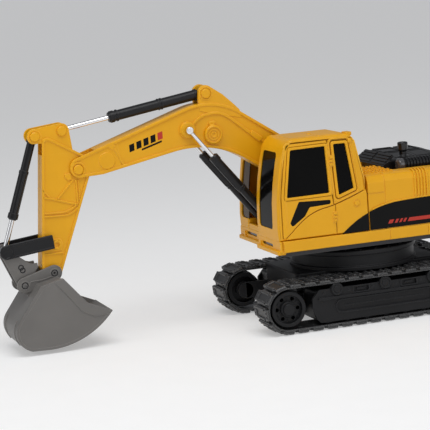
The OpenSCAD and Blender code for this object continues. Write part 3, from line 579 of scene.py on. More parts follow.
def build_boom(side):
    name = sided("boom", side)
    p = Piece(name + "_moulding", "boom", yellow, (name,))
    p.flip = side
    whole = boom_outline()
    rim_in = inset(whole, 2.3)
    face = BOOM_HALF - 1.25

    def raised(loop, short, soft):
        """A shape on the boom's face whose top stays short of the rim's."""
        p.plate([loop], face - 0.4, BOOM_HALF - short, soft)

    p.plate([clip(whole, 202)], 0.04, face, 0.25)
    p.plate([whole], FORK_HALF, face + 0.1, 0.15)
    p.plate([whole, rim_in], face - 0.3, BOOM_HALF, 0.5)
    # curved stiffening rib with its end block
    rib = smooth([(123, 158.6), (118.5, 162.6), (112.8, 165), (102.2, 165.5), (92.8, 160.7),
        (77.4, 147.6)])
    raised(strip(rib, 2.0, 2.2), 0.1, 0.45)
    raised(fillet(strip([(76.6, 148.2), (68.4, 141.4)], 4.0), 0.8), -0.1, 0.5)
    raised(strip([(69, 141.9), (58, 132.4)], 1.6), 0.3, 0.35)
    # doubler plate with the round blind boss near the nose
    tip = clip(inset(whole, 1.6), 184.5, False)
    tip = [(x if z > 140 or x > 190 else x - 2.5, z) for x, z in tip]
    raised(tip, 0.75, 0.25)
    raised(fillet(strip([(188, 147.6), (185.6, 144.2), (180.4, 133.4)], 1.5), 0.4), 0.25, 0.35)
    raised(fillet(strip([(190.5, 150), (187.4, 147.2)], 4.0), 0.6), 0.1, 0.3)
    knob(p, (193.3, 138.1), 6.6, face - 0.4, BOOM_HALF + 0.05)
    # nose ring round the pin
    p.turned(ring_shape(4.3, 5.6, 7.3, BOOM_HALF + 0.1), pin_at(TIP, 0), 0.3)
    # bracket ear for the arm cylinder, faired into the boom's back
    p.plate([ear_outline()], 4.7, BOOM_HALF - 0.6, 0.5)
    p.turned(ring_shape(4.2, 5.3, 7, 8.4), pin_at(BRACKET, 0), 0.3)
    # boss that carries the boom cylinder's rod eye
    p.turned([(0, 6), (6.4, 6), (6.4, BOOM_HALF + 0.2), (5.7, BOOM_HALF + 0.5), (5.7, 10.2),
        (0, 10.2)], pin_at(EYE, 0), 0.5)
    # small hook above the port
    raised(fillet([(105.4, 157.6), (110.6, 157.6), (110.6, 159.6), (106.4, 160.2), (104.6, 159.2)],
        0.5), 0.1, 0.35)
    p.done(BOOM_Y)


def ear_outline():
    """The arm cylinder's bracket ear: round at the pivot, faired down to the boom's back."""
    round_top = arc(BRACKET, EAR_RADIUS, 28, 132, 8)
    return round_top + [(97.6, 179.6), (90, 172.4), (84.4, 166.6), (83, 160), (110, 166),
        (117.2, 168.5), (117.4, 177.5)]


def build_boom_parts():
    p = Piece("boom_ports", "boom", yellow, ("boom_port_caps",))

    def port_cap():
        p.turned([(0, 7), (7.2, 7), (7.2, 9.6), (6.4, 10.2), (5.7, 10.2), (5.6, 9.2), (4.4, 9.2),
            (4.3, 9.9), (3.5, 9.9), (3.4, 9.2), (2.5, 9.2), (2.4, 9.9), (1.5, 9.9), (1.4, 9.2),
            (0, 9.2)], pin_at(PORT, 0), 0.18, 40)
        p.plate([fillet([(106, 153), (110.2, 153), (110.2, 157.8), (106, 157.8)], 0.9)], 7.2, 9.3,
            0.6)

    p.both(port_cap)
    p.done(BOOM_Y)
    p = Piece("boom_pin_heads", "boom", yellow, ("boom_pins",))

    def heads():
        knob(p, TIP, 3.8, 7.3, BOOM_HALF + 1.3)
        knob(p, BRACKET, 3.8, 7, BOOM_HALF + 0.9)

    p.both(heads)
    p.lathe(rod_shape(PIN_RADIUS, -BOOM_HALF, BOOM_HALF), pin_at(TIP, 0))
    p.lathe(rod_shape(PIN_RADIUS, -BOOM_HALF, BOOM_HALF), pin_at(BRACKET, 0))
    p.lathe(rod_shape(1.45, -14.5, 14.5), pin_at(EYE, 0))
    p.done(BOOM_Y)


def build_boom_motif():
    """Plain slanted bars in place of the printed name."""
    dark = Piece("boom_motif_dark", "boom", band_black)
    warm = Piece("boom_motif_red", "boom", band_red)
    start, run = Vector((178.0, 142.2)), Vector((-33.0, 9.8))
    across = Vector((-run.y, run.x)).normalized() * -1
    unit = run.normalized()

    def bar(piece, at, wide, low, tall, lean=1.6):
        base = start + unit * at
        a = base + across * low
        b = base + unit * wide + across * low
        shift = unit * lean + across * tall
        piece.plate([[tuple(a), tuple(b), tuple(b + shift), tuple(a + shift)]], 7.0, 7.4, 0.05)

    for i in range(4):
        bar(dark, 3.0 + i * 6.0, 4.2, -0.6, 5.4)
    bar(dark, 12.5, 17.0, -3.0, 1.4, 0.4)
    bar(warm, 27.0, 4.2, -0.6, 5.4)
    dark.done(BOOM_Y)
    warm.done(BOOM_Y)


# ---------- cylinders ----------


def barrel(piece, p, q, y, radius, start, end, collars):
    """A cylinder tube along p to q; collars are (place, extra radius, length)."""
    frame_at = along_at(p, q, y)
    profile = [(0, start), (radius - 0.3, start), (radius, start + 0.5)]
    for at, extra, length in collars:
        profile += [(radius, at), (radius + extra, at + 0.15), (radius + extra, at + length),
            (radius, at + length + 0.15)]
    profile += [(radius, end - 0.6), (radius - 0.4, end), (0, end)]
    piece.turned(profile, frame_at, 0.15, 28)


def length(p, q):
    return math.hypot(q[0] - p[0], q[1] - p[1])


def build_cylinders():
    # boom cylinders
    run = length(EYE, BASE)
    top = run * 0.262
    rods = Piece("boom_cylinder_rod_pair", "boom_rods", chrome, ("boom_cylinder_rods",))

    def one_rod():
        rods.lathe(rod_shape(1.5, 0.8, 60), along_at(EYE, BASE, CYL_Y), 24)
        rods.turned(rod_shape(2.9, 10.5, 14.9), pin_at(EYE, 0), 0.6)

    rods.both(one_rod)
    rods.done(BOOM_Y)
    tubes = Piece("boom_cylinder_barrel_pair", "boom_barrels", black, ("boom_cylinder_barrels",))

    def one_tube():
        barrel(tubes, EYE, BASE, CYL_Y, 3.3, top, run - 2,
               [(top + 0.6, 0.55, 4.6), (run * 0.575, 0.5, 1.2), (run * 0.575 + 2.0, 0.5, 1.2)])
        tubes.bar((-0.9, top + 4, 0.9, run * 0.575), 0.4, 2.4, 3.9, 0.3, PLAN,
            along_at(EYE, BASE, CYL_Y) @ Matrix.Rotation(math.radians(90), 4, "X"))

    tubes.both(one_tube)
    tubes.done(BOOM_Y)
    # arm cylinder
    run = length(BRACKET, ROD)
    end = run * 0.6655
    tube = Piece("arm_cylinder_tube", "arm_barrel", black, ("arm_cylinder_barrel",))
    barrel(tube, BRACKET, ROD, 0, 4.0, 4.6, end, [(5.2, 0.5, 1.6), (run * 0.29, 0.55, 1.1),
        (run * 0.29 + 2.2, 0.55, 1.1), (end - 7.6, 0.6, 1.5), (end - 4.6, 0.6, 3.2)])
    tube.turned(ring_shape(2.6, 4.3, -3.4, 3.4), pin_at(BRACKET, 0), 0.5)
    tube.bar((2.8, -2.6, 7, 2.6), 0.5, -3, 3, 0.5, SIDE, side_turn(BRACKET, ROD))
    tube.done(BOOM_Y)
    rod = Piece("arm_cylinder_ram", "arm_rod", chrome, ("arm_cylinder_rod",))
    rod.lathe(rod_shape(1.9, 42, run), along_at(BRACKET, ROD, 0), 28)
    rod.turned(rod_shape(3, -2, 2), pin_at(ROD, 0), 0.5)
    rod.done(BOOM_Y)
    # bucket cylinder
    run = length(HEAD, JOINT)
    end = run * 0.728
    tube = Piece("bucket_cylinder_tube", "bucket_barrel", black, ("bucket_cylinder_barrel",))
    barrel(tube, HEAD, JOINT, 0, 3.1, 2.2, end,
           [(3.2, 0.8, 2.2), (run * 0.3, 0.6, 2.4), (end - 5.2, 0.9, 4.2)])
    tube.turned(rod_shape(3.2, -2.4, 2.4), pin_at(HEAD, 0), 0.5)
    for turn in (0, 90, 180, 270):
        tube.bar((-0.5, run * 0.3, 0.5, end - 4), 0.2, 2.7, 3.5, 0.2, SIDE,
            along_at(HEAD, JOINT, 0) @ Matrix.Rotation(math.radians(turn), 4, "Z"))
    tube.done(BOOM_Y)
    rod = Piece("bucket_cylinder_ram", "bucket_rod", chrome, ("bucket_cylinder_rod",))
    rod.lathe(rod_shape(1.9, 36, run - 2.6), along_at(HEAD, JOINT, 0), 28)
    rod.turned(ring_shape(1.55, 3.6, -1.6, 1.6), pin_at(JOINT, 0), 0.4)
    rod.done(BOOM_Y)


def side_turn(p, q):
    """A local frame at p with X towards q, in the side view."""
    turn = math.atan2(q[1] - p[1], q[0] - p[0])
    return Matrix.Translation((p[0], 0, p[1])) @ Matrix.Rotation(-turn, 4, "Y")


# ---------- arm ----------


def arm_outline():
    return ([(241.7, 159.5), (236.7, 160), (206.4, 141.8), (207.8, 127.3)] + arc(BUCKET, 6.4, 205,
        330, 8) + [(249.9, 62.5)])


def build_arm(side):
    name = sided("arm", side)
    p = Piece(name + "_moulding", "arm", yellow, (name,))
    p.flip = side
    whole = arm_outline()
    whole = fillet(whole, [1.6, 3.0, 2.5, 0.5] + [0] * (len(whole) - 5) + [0.6])
    face = ARM_HALF - 1.1
    # body below the head, and the outer skin that laps the head plates
    p.plate([clip_low(whole, 147)], 0.04, 4.2, 0.2)
    p.plate([whole], 6.05, face + 0.05, 0.05)
    p.plate([clip_low(whole, 147)], 4.0, face, 0.2)
    p.plate([whole, inset(whole, math.copysign(1.9, area(whole)))], 5.8, ARM_HALF, 0.4)
    ribs = [([(244.6, 115.6), (236.0, 113.3), (218.3, 107.3)], 1.5),
        (smooth([(244.7, 103.4), (236, 102.9), (228, 103.1), (222.5, 105.2), (218.4, 108.2)]),
        1.2), (smooth([(244.7, 101.0), (236, 100.6), (226.5, 100.6), (220.9, 103.2),
        (217.6, 106.0)]), 1.2), ([(220.6, 126.4), (233.4, 113.4)], 1.3),
        ([(218.4, 126.2), (218.4, 108.6)], 1.3), ([(216.4, 126.2), (216.4, 110.6)], 1.0),
        ([(244.8, 121.6), (240.2, 115.6)], 1.3), ([(247.6, 72.4), (232.8, 72.4)], 1.4),]
    for line, wide in ribs:
        p.plate([strip(line, wide * 0.9)], face - 0.3, ARM_HALF, 0.36)
    p.plate([fillet([(221.5, 131.5), (226.8, 131.5), (226.8, 128.9), (224.5, 126.6),
        (221.5, 126.6)], 0.6)], face - 0.3, ARM_HALF, 0.35)
    # ring boss behind the rocker's pivot
    p.turned(ring_shape(1.9, 3.4, 6, 7.2), pin_at((237.1, 78.8), 0), 0.3)
    p.plate([fillet([(233.6, 83.2), (239, 83.4), (242, 82.0), (242, 75.6), (239, 74.2),
        (233.6, 74.6), (232.4, 78.9)], 1.6), fillet([(235.0, 82.0), (239, 82.2), (241, 81.0),
        (241, 76.6), (239, 75.4), (235.0, 75.8), (234, 78.9)], 1.2)], face - 0.3, ARM_HALF - 0.05,
        0.25)
    p.done(BOOM_Y)


def clip_low(loop, limit):
    """The part of a loop below limit in its second coordinate."""
    return [(u, v) for v, u in clip([(v, u) for u, v in loop], limit)]


def build_arm_parts():
    p = Piece("arm_head_plate_pair", "arm", yellow, ("arm_head_plates",))
    outline = arc(HEAD, 5.8, -70, 84, 8) + arc(ROD, 5.8, 84, 178, 8) + [(218.4, 146.5),
        (236, 152.5), (243, 156)]

    def one():
        p.plate([outline], 4.35, 6.0, 0.45)
        p.turned(ring_shape(3.8, 5.0, 5.6, 6.35), pin_at(HEAD, 0), 0.2)

    p.both(one)
    p.done(BOOM_Y)
    p = Piece("arm_pin_heads", "arm", yellow, ("arm_pins",))

    def heads():
        knob(p, HEAD, 3.7, 5.6, 7.9)
        knob(p, ROD, 3.7, 5.6, 7.9)

    p.both(heads)
    for at in (HEAD, ROD):
        for s in (-1, 1):
            p.lathe(rod_shape(1.78, 3.8, 6), pin_at(at, 0, s))
    p.lathe(rod_shape(1.45, -8.9, 8.9), pin_at(ROCKER, 0))
    p.lathe(rod_shape(1.85, -7.2, 7.2), pin_at(BUCKET, 0))
    p.done(BOOM_Y)
    p = Piece("bucket_pivot_ends", "arm", pin_grey)
    for s in (-1, 1):
        p.turned([(0, 7.1), (1.85, 7.1), (1.85, 9.95), (1.2, 9.95), (0.9, 9.7), (0, 9.7)],
            pin_at(BUCKET, 0, s), 0.2)
    p.done(BOOM_Y)


# ---------- linkage and bucket ----------


def build_linkage():
    run = length(ROCKER, JOINT)
    p = Piece("rocker_straps", "rocker", black, ("rocker",))

    def strap():
        loop = [(-3.2, -4.8), (-2.6, -5.3)] + arc((run, 0), 5.4, -90, 90, 10) + [(-2.6, 5.3),
            (-3.2, 4.8)]
        p.plate([loop], 7.35, 9.2, 0.35, SIDE, side_turn(ROCKER, JOINT))
        p.bar((-2.2, 3.8, run - 5.4, 5.0), 0.4, 9.0, 9.5, 0.25, SIDE, side_turn(ROCKER, JOINT))
        p.bar((-2.2, -5.0, run - 5.4, -3.8), 0.4, 9.0, 9.5, 0.25, SIDE, side_turn(ROCKER, JOINT))
        knob(p, JOINT, 5.2, 9.0, 10.0, 0.35)

    p.both(strap)
    p.done(BOOM_Y)
    p = Piece("rocker_cross_pin", "rocker", steel, ("rocker_pin",))
    p.turned(rod_shape(1.42, -9.1, 9.1), pin_at(JOINT, 0), 0.2)
    p.done(BOOM_Y)
    p = Piece("link_plates", "link", warm_grey, ("bucket_link",))
    turn = math.degrees(math.atan2(LINK[1] - JOINT[1], LINK[0] - JOINT[0]))
    outline = (arc(JOINT, 4.6, turn + 90, turn + 270, 10)
        + [(266.4, 73), (263.1, 70.4), (259.4, 67.6), (256.5, 66.8), (253.2, 67.0), (252.8, 64)]
        + arc(LINK, 4.6, turn + 270, turn + 450, 10))
    p.both(lambda: p.plate([outline], 4.8, 6.8, 0.4))
    p.plate([[(264, 67), (259, 65), (261, 60), (265, 62)]], -4.9, 4.9, 0.2)
    p.done(BOOM_Y)
    p = Piece("link_rings", "link", black)

    def rings():
        for at in ((266.0, 65.0), (264.9, 62.8)):
            p.turned(ring_shape(1.4, 2.2, 6.6, 7.0), pin_at(at, 0), 0.12)

    p.both(rings)
    p.done(BOOM_Y)


MOUTH_TOP, MOUTH_LOW, LIP, BACK_TOP = (238.6, 56), (221.0, 34.9), (203, 27.0), (256, 51.6)
FLOOR_C, FLOOR_R, HEEL_C, HEEL_R = (252, 67.5), 64.5, (262, 18), 15
BUCKET_HALF = 23.5


def build_bucket():
    p = Piece("bucket_shell", "bucket", warm_grey, ("bucket",))
    floor = arc(FLOOR_C, FLOOR_R, 219.6, 270, 4)
    heel = arc(HEEL_C, HEEL_R, 285, 397, 8)
    whole = [BACK_TOP, MOUTH_TOP, MOUTH_LOW, LIP] + floor + heel
    inside = arc(FLOOR_C, FLOOR_R - 2, 221, 270, 4) + arc(HEEL_C, HEEL_R - 2, 285, 397, 8)
    # sheet: floor, heel and back
    sheet = [LIP] + floor + heel + [BACK_TOP, (248.9, 53.4), (248.9, 51.5),
        (253.6, 49.8)] + inside[::-1]
    p.plate([sheet], -BUCKET_HALF + 0.4, BUCKET_HALF - 0.4, 0.3)
    # side plates with the raised cutter strip along the mouth
    cheek = fillet(whole, [1.2, 1.4, 7.0, 1.0] + [0] * (len(whole) - 4))
    strap = [MOUTH_TOP, MOUTH_LOW, LIP, (207.5, 24.4), (216, 24.0), (226.0, 28.8), (235.2, 41.2),
        (245.4, 53.6)]
    strap = fillet(strap, [1.4, 7.0, 1.2, 1.2, 3.0, 9.0, 9.0, 1.0])
    p.both(lambda: p.plate([cheek], BUCKET_HALF - 2, BUCKET_HALF - 0.55, 0.3))
    p.both(lambda: p.plate([strap], BUCKET_HALF - 1.4, BUCKET_HALF + 0.15, 0.4))
    # cutting lip
    p.plate([fillet([(201.9, 26.6), (203.2, 27.5), (208.8, 25.6), (208.4, 22.8)], 0.5)],
        -BUCKET_HALF + 0.3, BUCKET_HALF - 0.3, 0.4)
    # ears

    def ear():
        p.plate([pill(BUCKET, LINK, 6.0)], 7.3, 9.7, 0.5)
        p.plate([[(239, 54.6), (262, 50), (266, 46.4), (262, 42), (246, 50)]], 7.7, 9.1, 0.2)
        p.plate([[(249.6, 53.2), (239.8, 55.7), (241.4, 53.9), (249.6, 51.2)]], 7.5,
            BUCKET_HALF - 1.0, 0.3)
        for at in (BUCKET, LINK):
            p.turned(ring_shape(2.7, 3.5, 9.3, 10.0), pin_at(at, 0), 0.18)
        p.plate([strip(smooth([(261.0, 50.4), (259.9, 53.6), (251.1, 54.2), (243.2, 56.1)], 4),
            0.8)], 9.4, 10.15, 0.3)

    p.both(ear)
    p.both(lambda: p.plate([strip(arc(HEEL_C, HEEL_R - 0.3, 320, 396, 8), 1.8)], 14.3, 16.7, 0.3))
    p.done(BOOM_Y)
    # thin black rings round the ear pins: painted shade for the groove round each pin
    p = Piece("bucket_pin_groove_shade", "bucket", black)

    def groove_shade_ring():
        for at in (BUCKET, LINK):
            p.turned(ring_shape(1.9, 2.75, 9.5, 9.78), pin_at(at, 0), 0.1)

    p.both(groove_shade_ring)
    p.done(BOOM_Y)
    p = Piece("bucket_link_pin", "bucket", pin_grey, ("bucket_pin",))
    p.turned(rod_shape(1.46, -10.0, 10.0), pin_at(LINK, 0), 0.35)
    p.done(BOOM_Y)


build_boom(1)
build_boom(-1)
build_boom_parts()
build_boom_motif()
build_cylinders()
build_arm(1)
build_arm(-1)
build_arm_parts()
build_linkage()
build_bucket()

# ---------- house ----------

HALF = 51.0     # half the width over the side panels
SKIN = 50.4     # half the width of the mouldings behind them
BELT = 69.3     # top of the tray
TRAY = 60.5     # underside of the tray
ROOF = 145.5    # top of the cab
JOIN = -83.9    # where the body sides and the deck meet the counterweight
TAIL_ARC = 22   # corner radius of the tail in plan
BODY_INNER = 31  # inner wall of a body side
CAB_SCREW = (15.4, 92)
HINGES = ((34.7, 126.3), (33.9, 83.4))


def rounded_plan(front_left, front_right, grow=0.0):
    """The tray's plan outline: cab front, tail and module front, with the boom slot between."""
    return ([(front_left - grow, SLOT_LEFT)] + arc((front_left - 3, HALF - 3), 3 - grow, 0, 90,
        15) + arc((-84, HALF - TAIL_ARC), TAIL_ARC - grow, 90, 180, 7.5)
        + arc((-84, TAIL_ARC - HALF), TAIL_ARC - grow, 180, 270, 7.5)
        + arc((front_right - 3, 3 - HALF), 3 - grow, 270, 360, 15)
        + [(front_right - grow, SLOT_LEFT)])


def build_tray():
    p = Piece("tray_skirt", "house", yellow, ("house_tray",))
    p.plate([rounded_plan(78.2, 73.2, 0.5)], TRAY, BELT, 0.5, PLAN)
    # fascias with a slot, and the lips under them
    for front, y0, y1, s0, s1, slot_z in ((79.5, SLOT_LEFT, HALF, 12, 34, 64.6),
            (74.5, -HALF, SLOT_LEFT, -36, -14, 65.4)):
        p.plate([box_loop(y0 + 0.2, TRAY, y1 - 0.4, BELT, 1.0),
            box_loop(s0, slot_z - 1.1, s1, slot_z + 1.1, 0.8)], front - 1.6, front, 0.4, FRONT)
        p.bar((front - 5, y0 + 0.6, front + 2.0, y1 - 1.2), 1.4, TRAY - 1.6, TRAY + 1.7, 0.8, PLAN)
        p.bar((front - 1, s0 - 3.4, front + 1.3, s0 - 1.2), 0.6, TRAY, slot_z + 1.0, 0.5, PLAN)
    # low wall that closes the slot under the boom
    p.bar((SLOT_RIGHT - 0.4, BELT - 1, SLOT_LEFT - 0.1, 73.4), 0.0, 72.2, 74.3, 0.5, FRONT)
    # skirt panels either side, with their seams
    for s in (1, -1):
        front = 76.5 if s > 0 else 71.5
        a, b = (50.2, HALF) if s > 0 else (-HALF, -50.2)
        for x0, x1 in ((-84, -43.25), (-42.8, -11.25), (-10.8, front)):
            p.bar((x0, TRAY + 0.3, x1, BELT - 0.1), 0.3, a, b, 0.3)
    p.plate([rounded_plan(60, 60, 0.05)], BELT - 1.2, BELT - 0.2, 0.1, PLAN)
    p.done()
    dark = Piece("tray_slots", "house", gloss_black)
    dark.bar((11, 63, 35, 66.2), 0, 77.8, 78.3, 0.02, FRONT)
    dark.bar((-37, 63.8, -13, 67.0), 0, 72.8, 73.3, 0.02, FRONT)
    dark.done()


def cab_loop(depth=0.0):
    """The cab's side outline, moved in by depth."""
    base = [(79.5, BELT), (80.1, 79), (79.5, 98), (77.9, 112), (75, 128), (72, 139.5),
        (66.5, ROOF), (17.5, ROOF), (14.6, 141), (7, 110), (6, 88), (6, BELT)]
    soft = [0, 8, 25, 25, 25, 12, 5, 4, 8, 12, 8, 0]
    loop = fillet(base, soft, 8)
    return inset(loop, depth) if depth else loop


SEAM = [(75.1, 70.7), (69.5, 75.4), (62.5, 81.6), (54.3, 87.0), (45.5, 90.4), (35.2, 92.4),
    (21.5, 96.6), (7.3, 101.9)]
DOOR_GLASS = [(71.9, 101.9), (67.1, 137.6), (39.1, 138.1), (37.3, 102.2)]
QUARTER_GLASS = [(29.7, 99.6), (32.1, 138.9), (22.3, 138.7), (17.1, 103.8)]
BOOMERANG = [(62.5, 98.1), (36.5, 96.9), (36.9, 93.7), (53.9, 93.0), (58.2, 86.6), (68.6, 79.6),
    (70.4, 82.6)]


def seam_part(x_low, x_high, shift):
    """A stretch of the seam below the windows, raised by shift, ending exactly at both limits."""
    line = smooth(SEAM, 4)
    part = [(x, z + shift) for x, z in line if x_low < x < x_high]
    for (x0, z0), (x1, z1) in zip(line, line[1:]):
        for x in (x_low, x_high):
            if x1 <= x < x0:
                part.append((x, z1 + (z0 - z1) * (x - x1) / (x0 - x1) + shift))
    return sorted(part, reverse=True)


def build_cab():
    p = Piece("cab_moulding", "house", yellow, ("cab_shell",))
    p.plate([cab_loop()], SLOT_LEFT, SKIN - 0.5, 2.6, rings=5)
    hollow = Piece("hollow")
    hollow.plate([[(x, z if z > 75 else z - 4) for x, z in cab_loop(2.2)]], SLOT_LEFT + 2,
        HALF - 3, 1.0)
    screen = Piece("screen")
    screen.plate([fillet([(10, 77.4), (38, 77.4), (38, 135.5), (10, 135.5)], [2.5, 2.5, 3, 3])],
        60, 90, 0.0, FRONT)
    door = Piece("door")
    door.plate([fillet(DOOR_GLASS, 1.0)], 44, 56, 0.0)
    door.plate([fillet(QUARTER_GLASS, 1.0)], 44, 56, 0.0)
    base = Piece("base")
    base.bar((-10, 60, 100, BELT), 0, -10, 60, 0.0)
    pin = Piece("pin")
    pin.lathe(rod_shape(3.02, -2, 8), pin_at(FOOT, 0), 32)
    p.cut(hollow, screen, door, base, pin)
    p.done()
    # outer panels of the cab side, over a dark sheet of painted shade that shows in the gaps between them
    p = Piece("cab_seam_shade", "house", seam_painted_shade)
    p.plate([cab_loop(2.4), fillet(inset(DOOR_GLASS, -0.3), 1.0),
        fillet(inset(QUARTER_GLASS, -0.3), 1.0)], SKIN - 0.9, SKIN - 0.4, 0.02)
    p.done()
    p = Piece("cab_side_panels", "house", yellow)
    low, high = SKIN - 0.7, SKIN + 0.35
    border = [q for q in cab_loop(1.2) if q[0] > 10 or q[1] > 103]
    p.plate([border + [(7.9, 103.0), (8.3, 110.6), (14.7, 139.7), (16.9, 142.9), (69.7, 142.9),
        (71.7, 141.2), (77.1, 103.6), (77.3, 70.6)]], low, high, 0.3)
    upper = seam_part(34.6, 76, 0.45)
    p.plate([upper + [(35.0, 97), (37.3, 141.5), (37.9, 142.2), (69.1, 142.1), (70.8, 140.7),
        (76.3, 103.4), (76.5, 72.2)], fillet(inset(DOOR_GLASS, -2.4), 2.4),
        fillet(BOOMERANG, 1.3)], low, high, 0.3)
    p.plate([fillet(inset(DOOR_GLASS, -2.0), 2.0), fillet(DOOR_GLASS, 1.0)], low, HALF + 0.2, 0.45)
    lower = [(x, z) for x, z in seam_part(33.2, 74.5, -0.45) if z > 70.7]
    p.plate([lower + [(33.2, 70.6), (73.8, 70.6)]], low, high, 0.3)
    rear = seam_part(8.9, 33.7, 0.45)
    p.plate([rear + [(9.2, 110.5), (15.5, 139.2), (17.3, 142.1), (36.4, 142.1), (34.0, 95)],
             fillet(inset(QUARTER_GLASS, -2.9), 2.6)], low, high - 0.1, 0.3)
    p.plate([fillet(inset(QUARTER_GLASS, -2.1), 2.0), fillet(QUARTER_GLASS, 1.0)], low, HALF + 0.2,
        0.45)
    p.plate([fillet(inset(QUARTER_GLASS, -4.6), 3.6), fillet(inset(QUARTER_GLASS, -3.6), 3.2)],
        high - 0.3, high + 0.35, 0.25)
    p.plate([seam_part(6.9, 32.6, -0.45) + [(6.7, 98), (6.7, 70.6), (32.6, 70.6)]], low, high, 0.3)
    p.plate([strip([(73.2, 100.4), (72.6, 77.0)], 1.0)], SKIN, high + 0.4, 0.3)
    for x, z in HINGES:
        p.bar((x - 1.9, z - 4.3, x + 1.9, z + 4.3), 0.5, SKIN - 0.6, HALF + 0.3, 0.3)
        for k in (-2.6, 0, 2.6):
            p.bar((x - 1.4, z + k - 0.95, x + 1.4, z + k + 0.95), 0.3, SKIN, HALF + 1.2, 0.4)
    p.turned([(0, SKIN - 0.4), (2.0, SKIN - 0.4), (1.8, SKIN + 0.8), (0.9, SKIN + 1.4),
        (0, SKIN + 1.5)], pin_at((18.4, 140.2), 0), 0.3, 20)
    # roof panels, small dome and corner tab
    p.bar((21, 8, 41.4, 45), 2.0, ROOF - 0.4, ROOF + 0.35, 0.3, PLAN)
    p.bar((42.0, 8, 64, 45), 2.0, ROOF - 0.4, ROOF + 0.35, 0.3, PLAN)
    p.turned([(0, 0), (1.6, 0), (1.3, 0.7), (0, 0.9)], Matrix.Translation((42, 28, ROOF + 0.2)),
        0.3, 20)
    p.bar((15.4, 40.5, 20.5, 48.6), 0.8, ROOF - 1.6, ROOF + 1.1, 0.5, PLAN)
    # far side of the cab, towards the boom
    p.plate([fillet(inset(cab_loop(), 4), 1.0), fillet(inset(cab_loop(), 6), 1.0)], SLOT_LEFT,
        SLOT_LEFT + 0.3, 0.12)
    p.done()
    p = Piece("cab_boomerang", "house", band_black)
    p.plate([fillet(inset(BOOMERANG, -0.1), 1.3)], SKIN - 0.7, SKIN - 0.1, 0.05)
    p.done()
    # panes
    glass = Piece("cab_panes", "house", smoke, ("windscreen", "door_window", "quarter_window"))
    glass.plate([inset(DOOR_GLASS, -0.6)], SKIN - 1.6, SKIN - 0.7, 0.1)
    glass.plate([inset(QUARTER_GLASS, -0.6)], SKIN - 1.6, SKIN - 0.7, 0.1)
    outer, inner = cab_loop(0.7), cab_loop(1.5)
    front_out = [q for q in outer if q[0] > 66 and 76 < q[1] < 137]
    front_in = [q for q in inner if q[0] > 66 and 76 < q[1] < 137]
    front_out.sort(key=lambda q: q[1])
    front_in.sort(key=lambda q: q[1])
    low_x = front_out[0][0]
    glass.plate([[(low_x, 76)] + front_out + front_in[::-1] + [(low_x - 0.8, 76)]], 9.4, 38.6, 0.05)
    glass.done()


def build_cabin_inside():
    p = Piece("operator_seat", "house", black, ("seat",))
    low, high = box_mm("seat")
    p.block((low.x, low.y, low.z), (high.x, high.y, low.z + 24), 2.5, 2.0, PLAN)
    p.block((low.x, low.y + 0.5, low.z + 22), (low.x + 5, high.y - 0.5, high.z - 8), 1.8, 1.5,
        FRONT)
    p.block((low.x + 0.5, low.y + 4, high.z - 10), (low.x + 4.5, high.y - 4, high.z), 1.6, 1.2,
        FRONT)
    p.block((low.x + 4, low.y - 0.0, low.z + 29), (low.x + 16, low.y + 2.6, low.z + 32), 0.8, 0.6,
        FRONT)
    p.block((low.x + 4, high.y - 2.6, low.z + 29), (low.x + 16, high.y, low.z + 32), 0.8, 0.6,
        FRONT)
    p.done()
    p = Piece("operator_console", "house", dark_grey, ("control_console",), slot="black_plastic")
    low, high = box_mm("control_console")
    p.block((low.x, low.y, low.z), (high.x, high.y, low.z + 22), 1.2, 1.0, PLAN)
    for y in (16, 34):
        p.turned([(0, 0), (2.0, 0), (1.6, 2.5), (0.9, 3.5), (0.9, 10), (1.7, 11), (1.7, 14),
            (0.9, 15), (0, 15)], Matrix.Translation((60, y, low.z + 21.5)), 0.4, 20)
    p.done()


def module_loop(depth=0.0):
    """The side outline of the module right of the boom."""
    base = [(74.5, BELT), (75, 79), (73.5, 104), (70.5, 126), (66, 132), (16, 132), (7, 106),
        (6, BELT)]
    loop = fillet(base, [0, 8, 20, 12, 4, 6, 10, 0], 8)
    return inset(loop, depth) if depth else loop


def build_module():
    p = Piece("module_moulding", "house", yellow, ("right_module",))
    p.plate([module_loop()], -SKIN, SLOT_RIGHT, 1.8, rings=4)
    hollow = Piece("hollow")
    hollow.plate([[(x, z if z > 75 else z - 4) for x, z in module_loop(2.2)]], -HALF + 3,
        SLOT_RIGHT - 2, 0.8)
    window = Piece("window")
    window.plate([fillet([(-44.8, 77), (-29, 77), (-29, 123), (-44.8, 123)],
        [4.0, 0.5, 0.5, 3.0])], 60, 90, 0.0, FRONT)
    base = Piece("base")
    base.bar((-10, 60, 100, BELT), 0, -60, 10, 0.0)
    pin = Piece("pin")
    pin.lathe(rod_shape(3.02, -36, -28), pin_at(FOOT, 0), 32)
    p.cut(hollow, window, base, pin)
    p.done()
    p = Piece("module_panels", "house", yellow)
    p.plate([fillet([(71, 73), (70.4, 104), (67.6, 124), (20, 124), (12, 104), (11, 73)], 3.0)],
        -HALF - 0.1, -SKIN + 0.3, 0.25)
    for k in range(6):
        p.plate([strip([(24, 80 + k * 3.6), (58, 80 + k * 3.6)], 1.5)], -HALF - 0.55, -HALF, 0.3)
    p.done()
    # brown pane whose tone is painted shade, for the shaded yellow in the module's opening
    glass = Piece("module_pane", "house", painted_shade_smoke, ("module_window",))
    face = [(73.9, 76.2), (74.0, 80), (72.5, 104), (69.5, 125)]
    glass.plate([face + [(x - 0.9, z) for x, z in reversed(face)]], -45.6, SLOT_RIGHT - 0.1, 0.05)
    glass.done()


BAND_TOP = smooth([(28.4, 69.9), (21.5, 75.2), (13.6, 80.1), (5.0, 84.0), (-3.5, 86.8),
    (-12, 88.6), (-20.4, 89.5), (-45.9, 90.4), (-83.4, 90.3)], 4)


def section(depth=0.0):
    """The body side's section, as (Y, Z)."""
    loop = fillet([(BODY_INNER, BELT), (SKIN, BELT), (SKIN, 106.2), (48.6, 110.6), (46.2, 111.5),
        (BODY_INNER, 111.5)], [0, 0, 1.4, 1.6, 1.2, 0.4], 12)
    return inset(loop, depth) if depth else loop


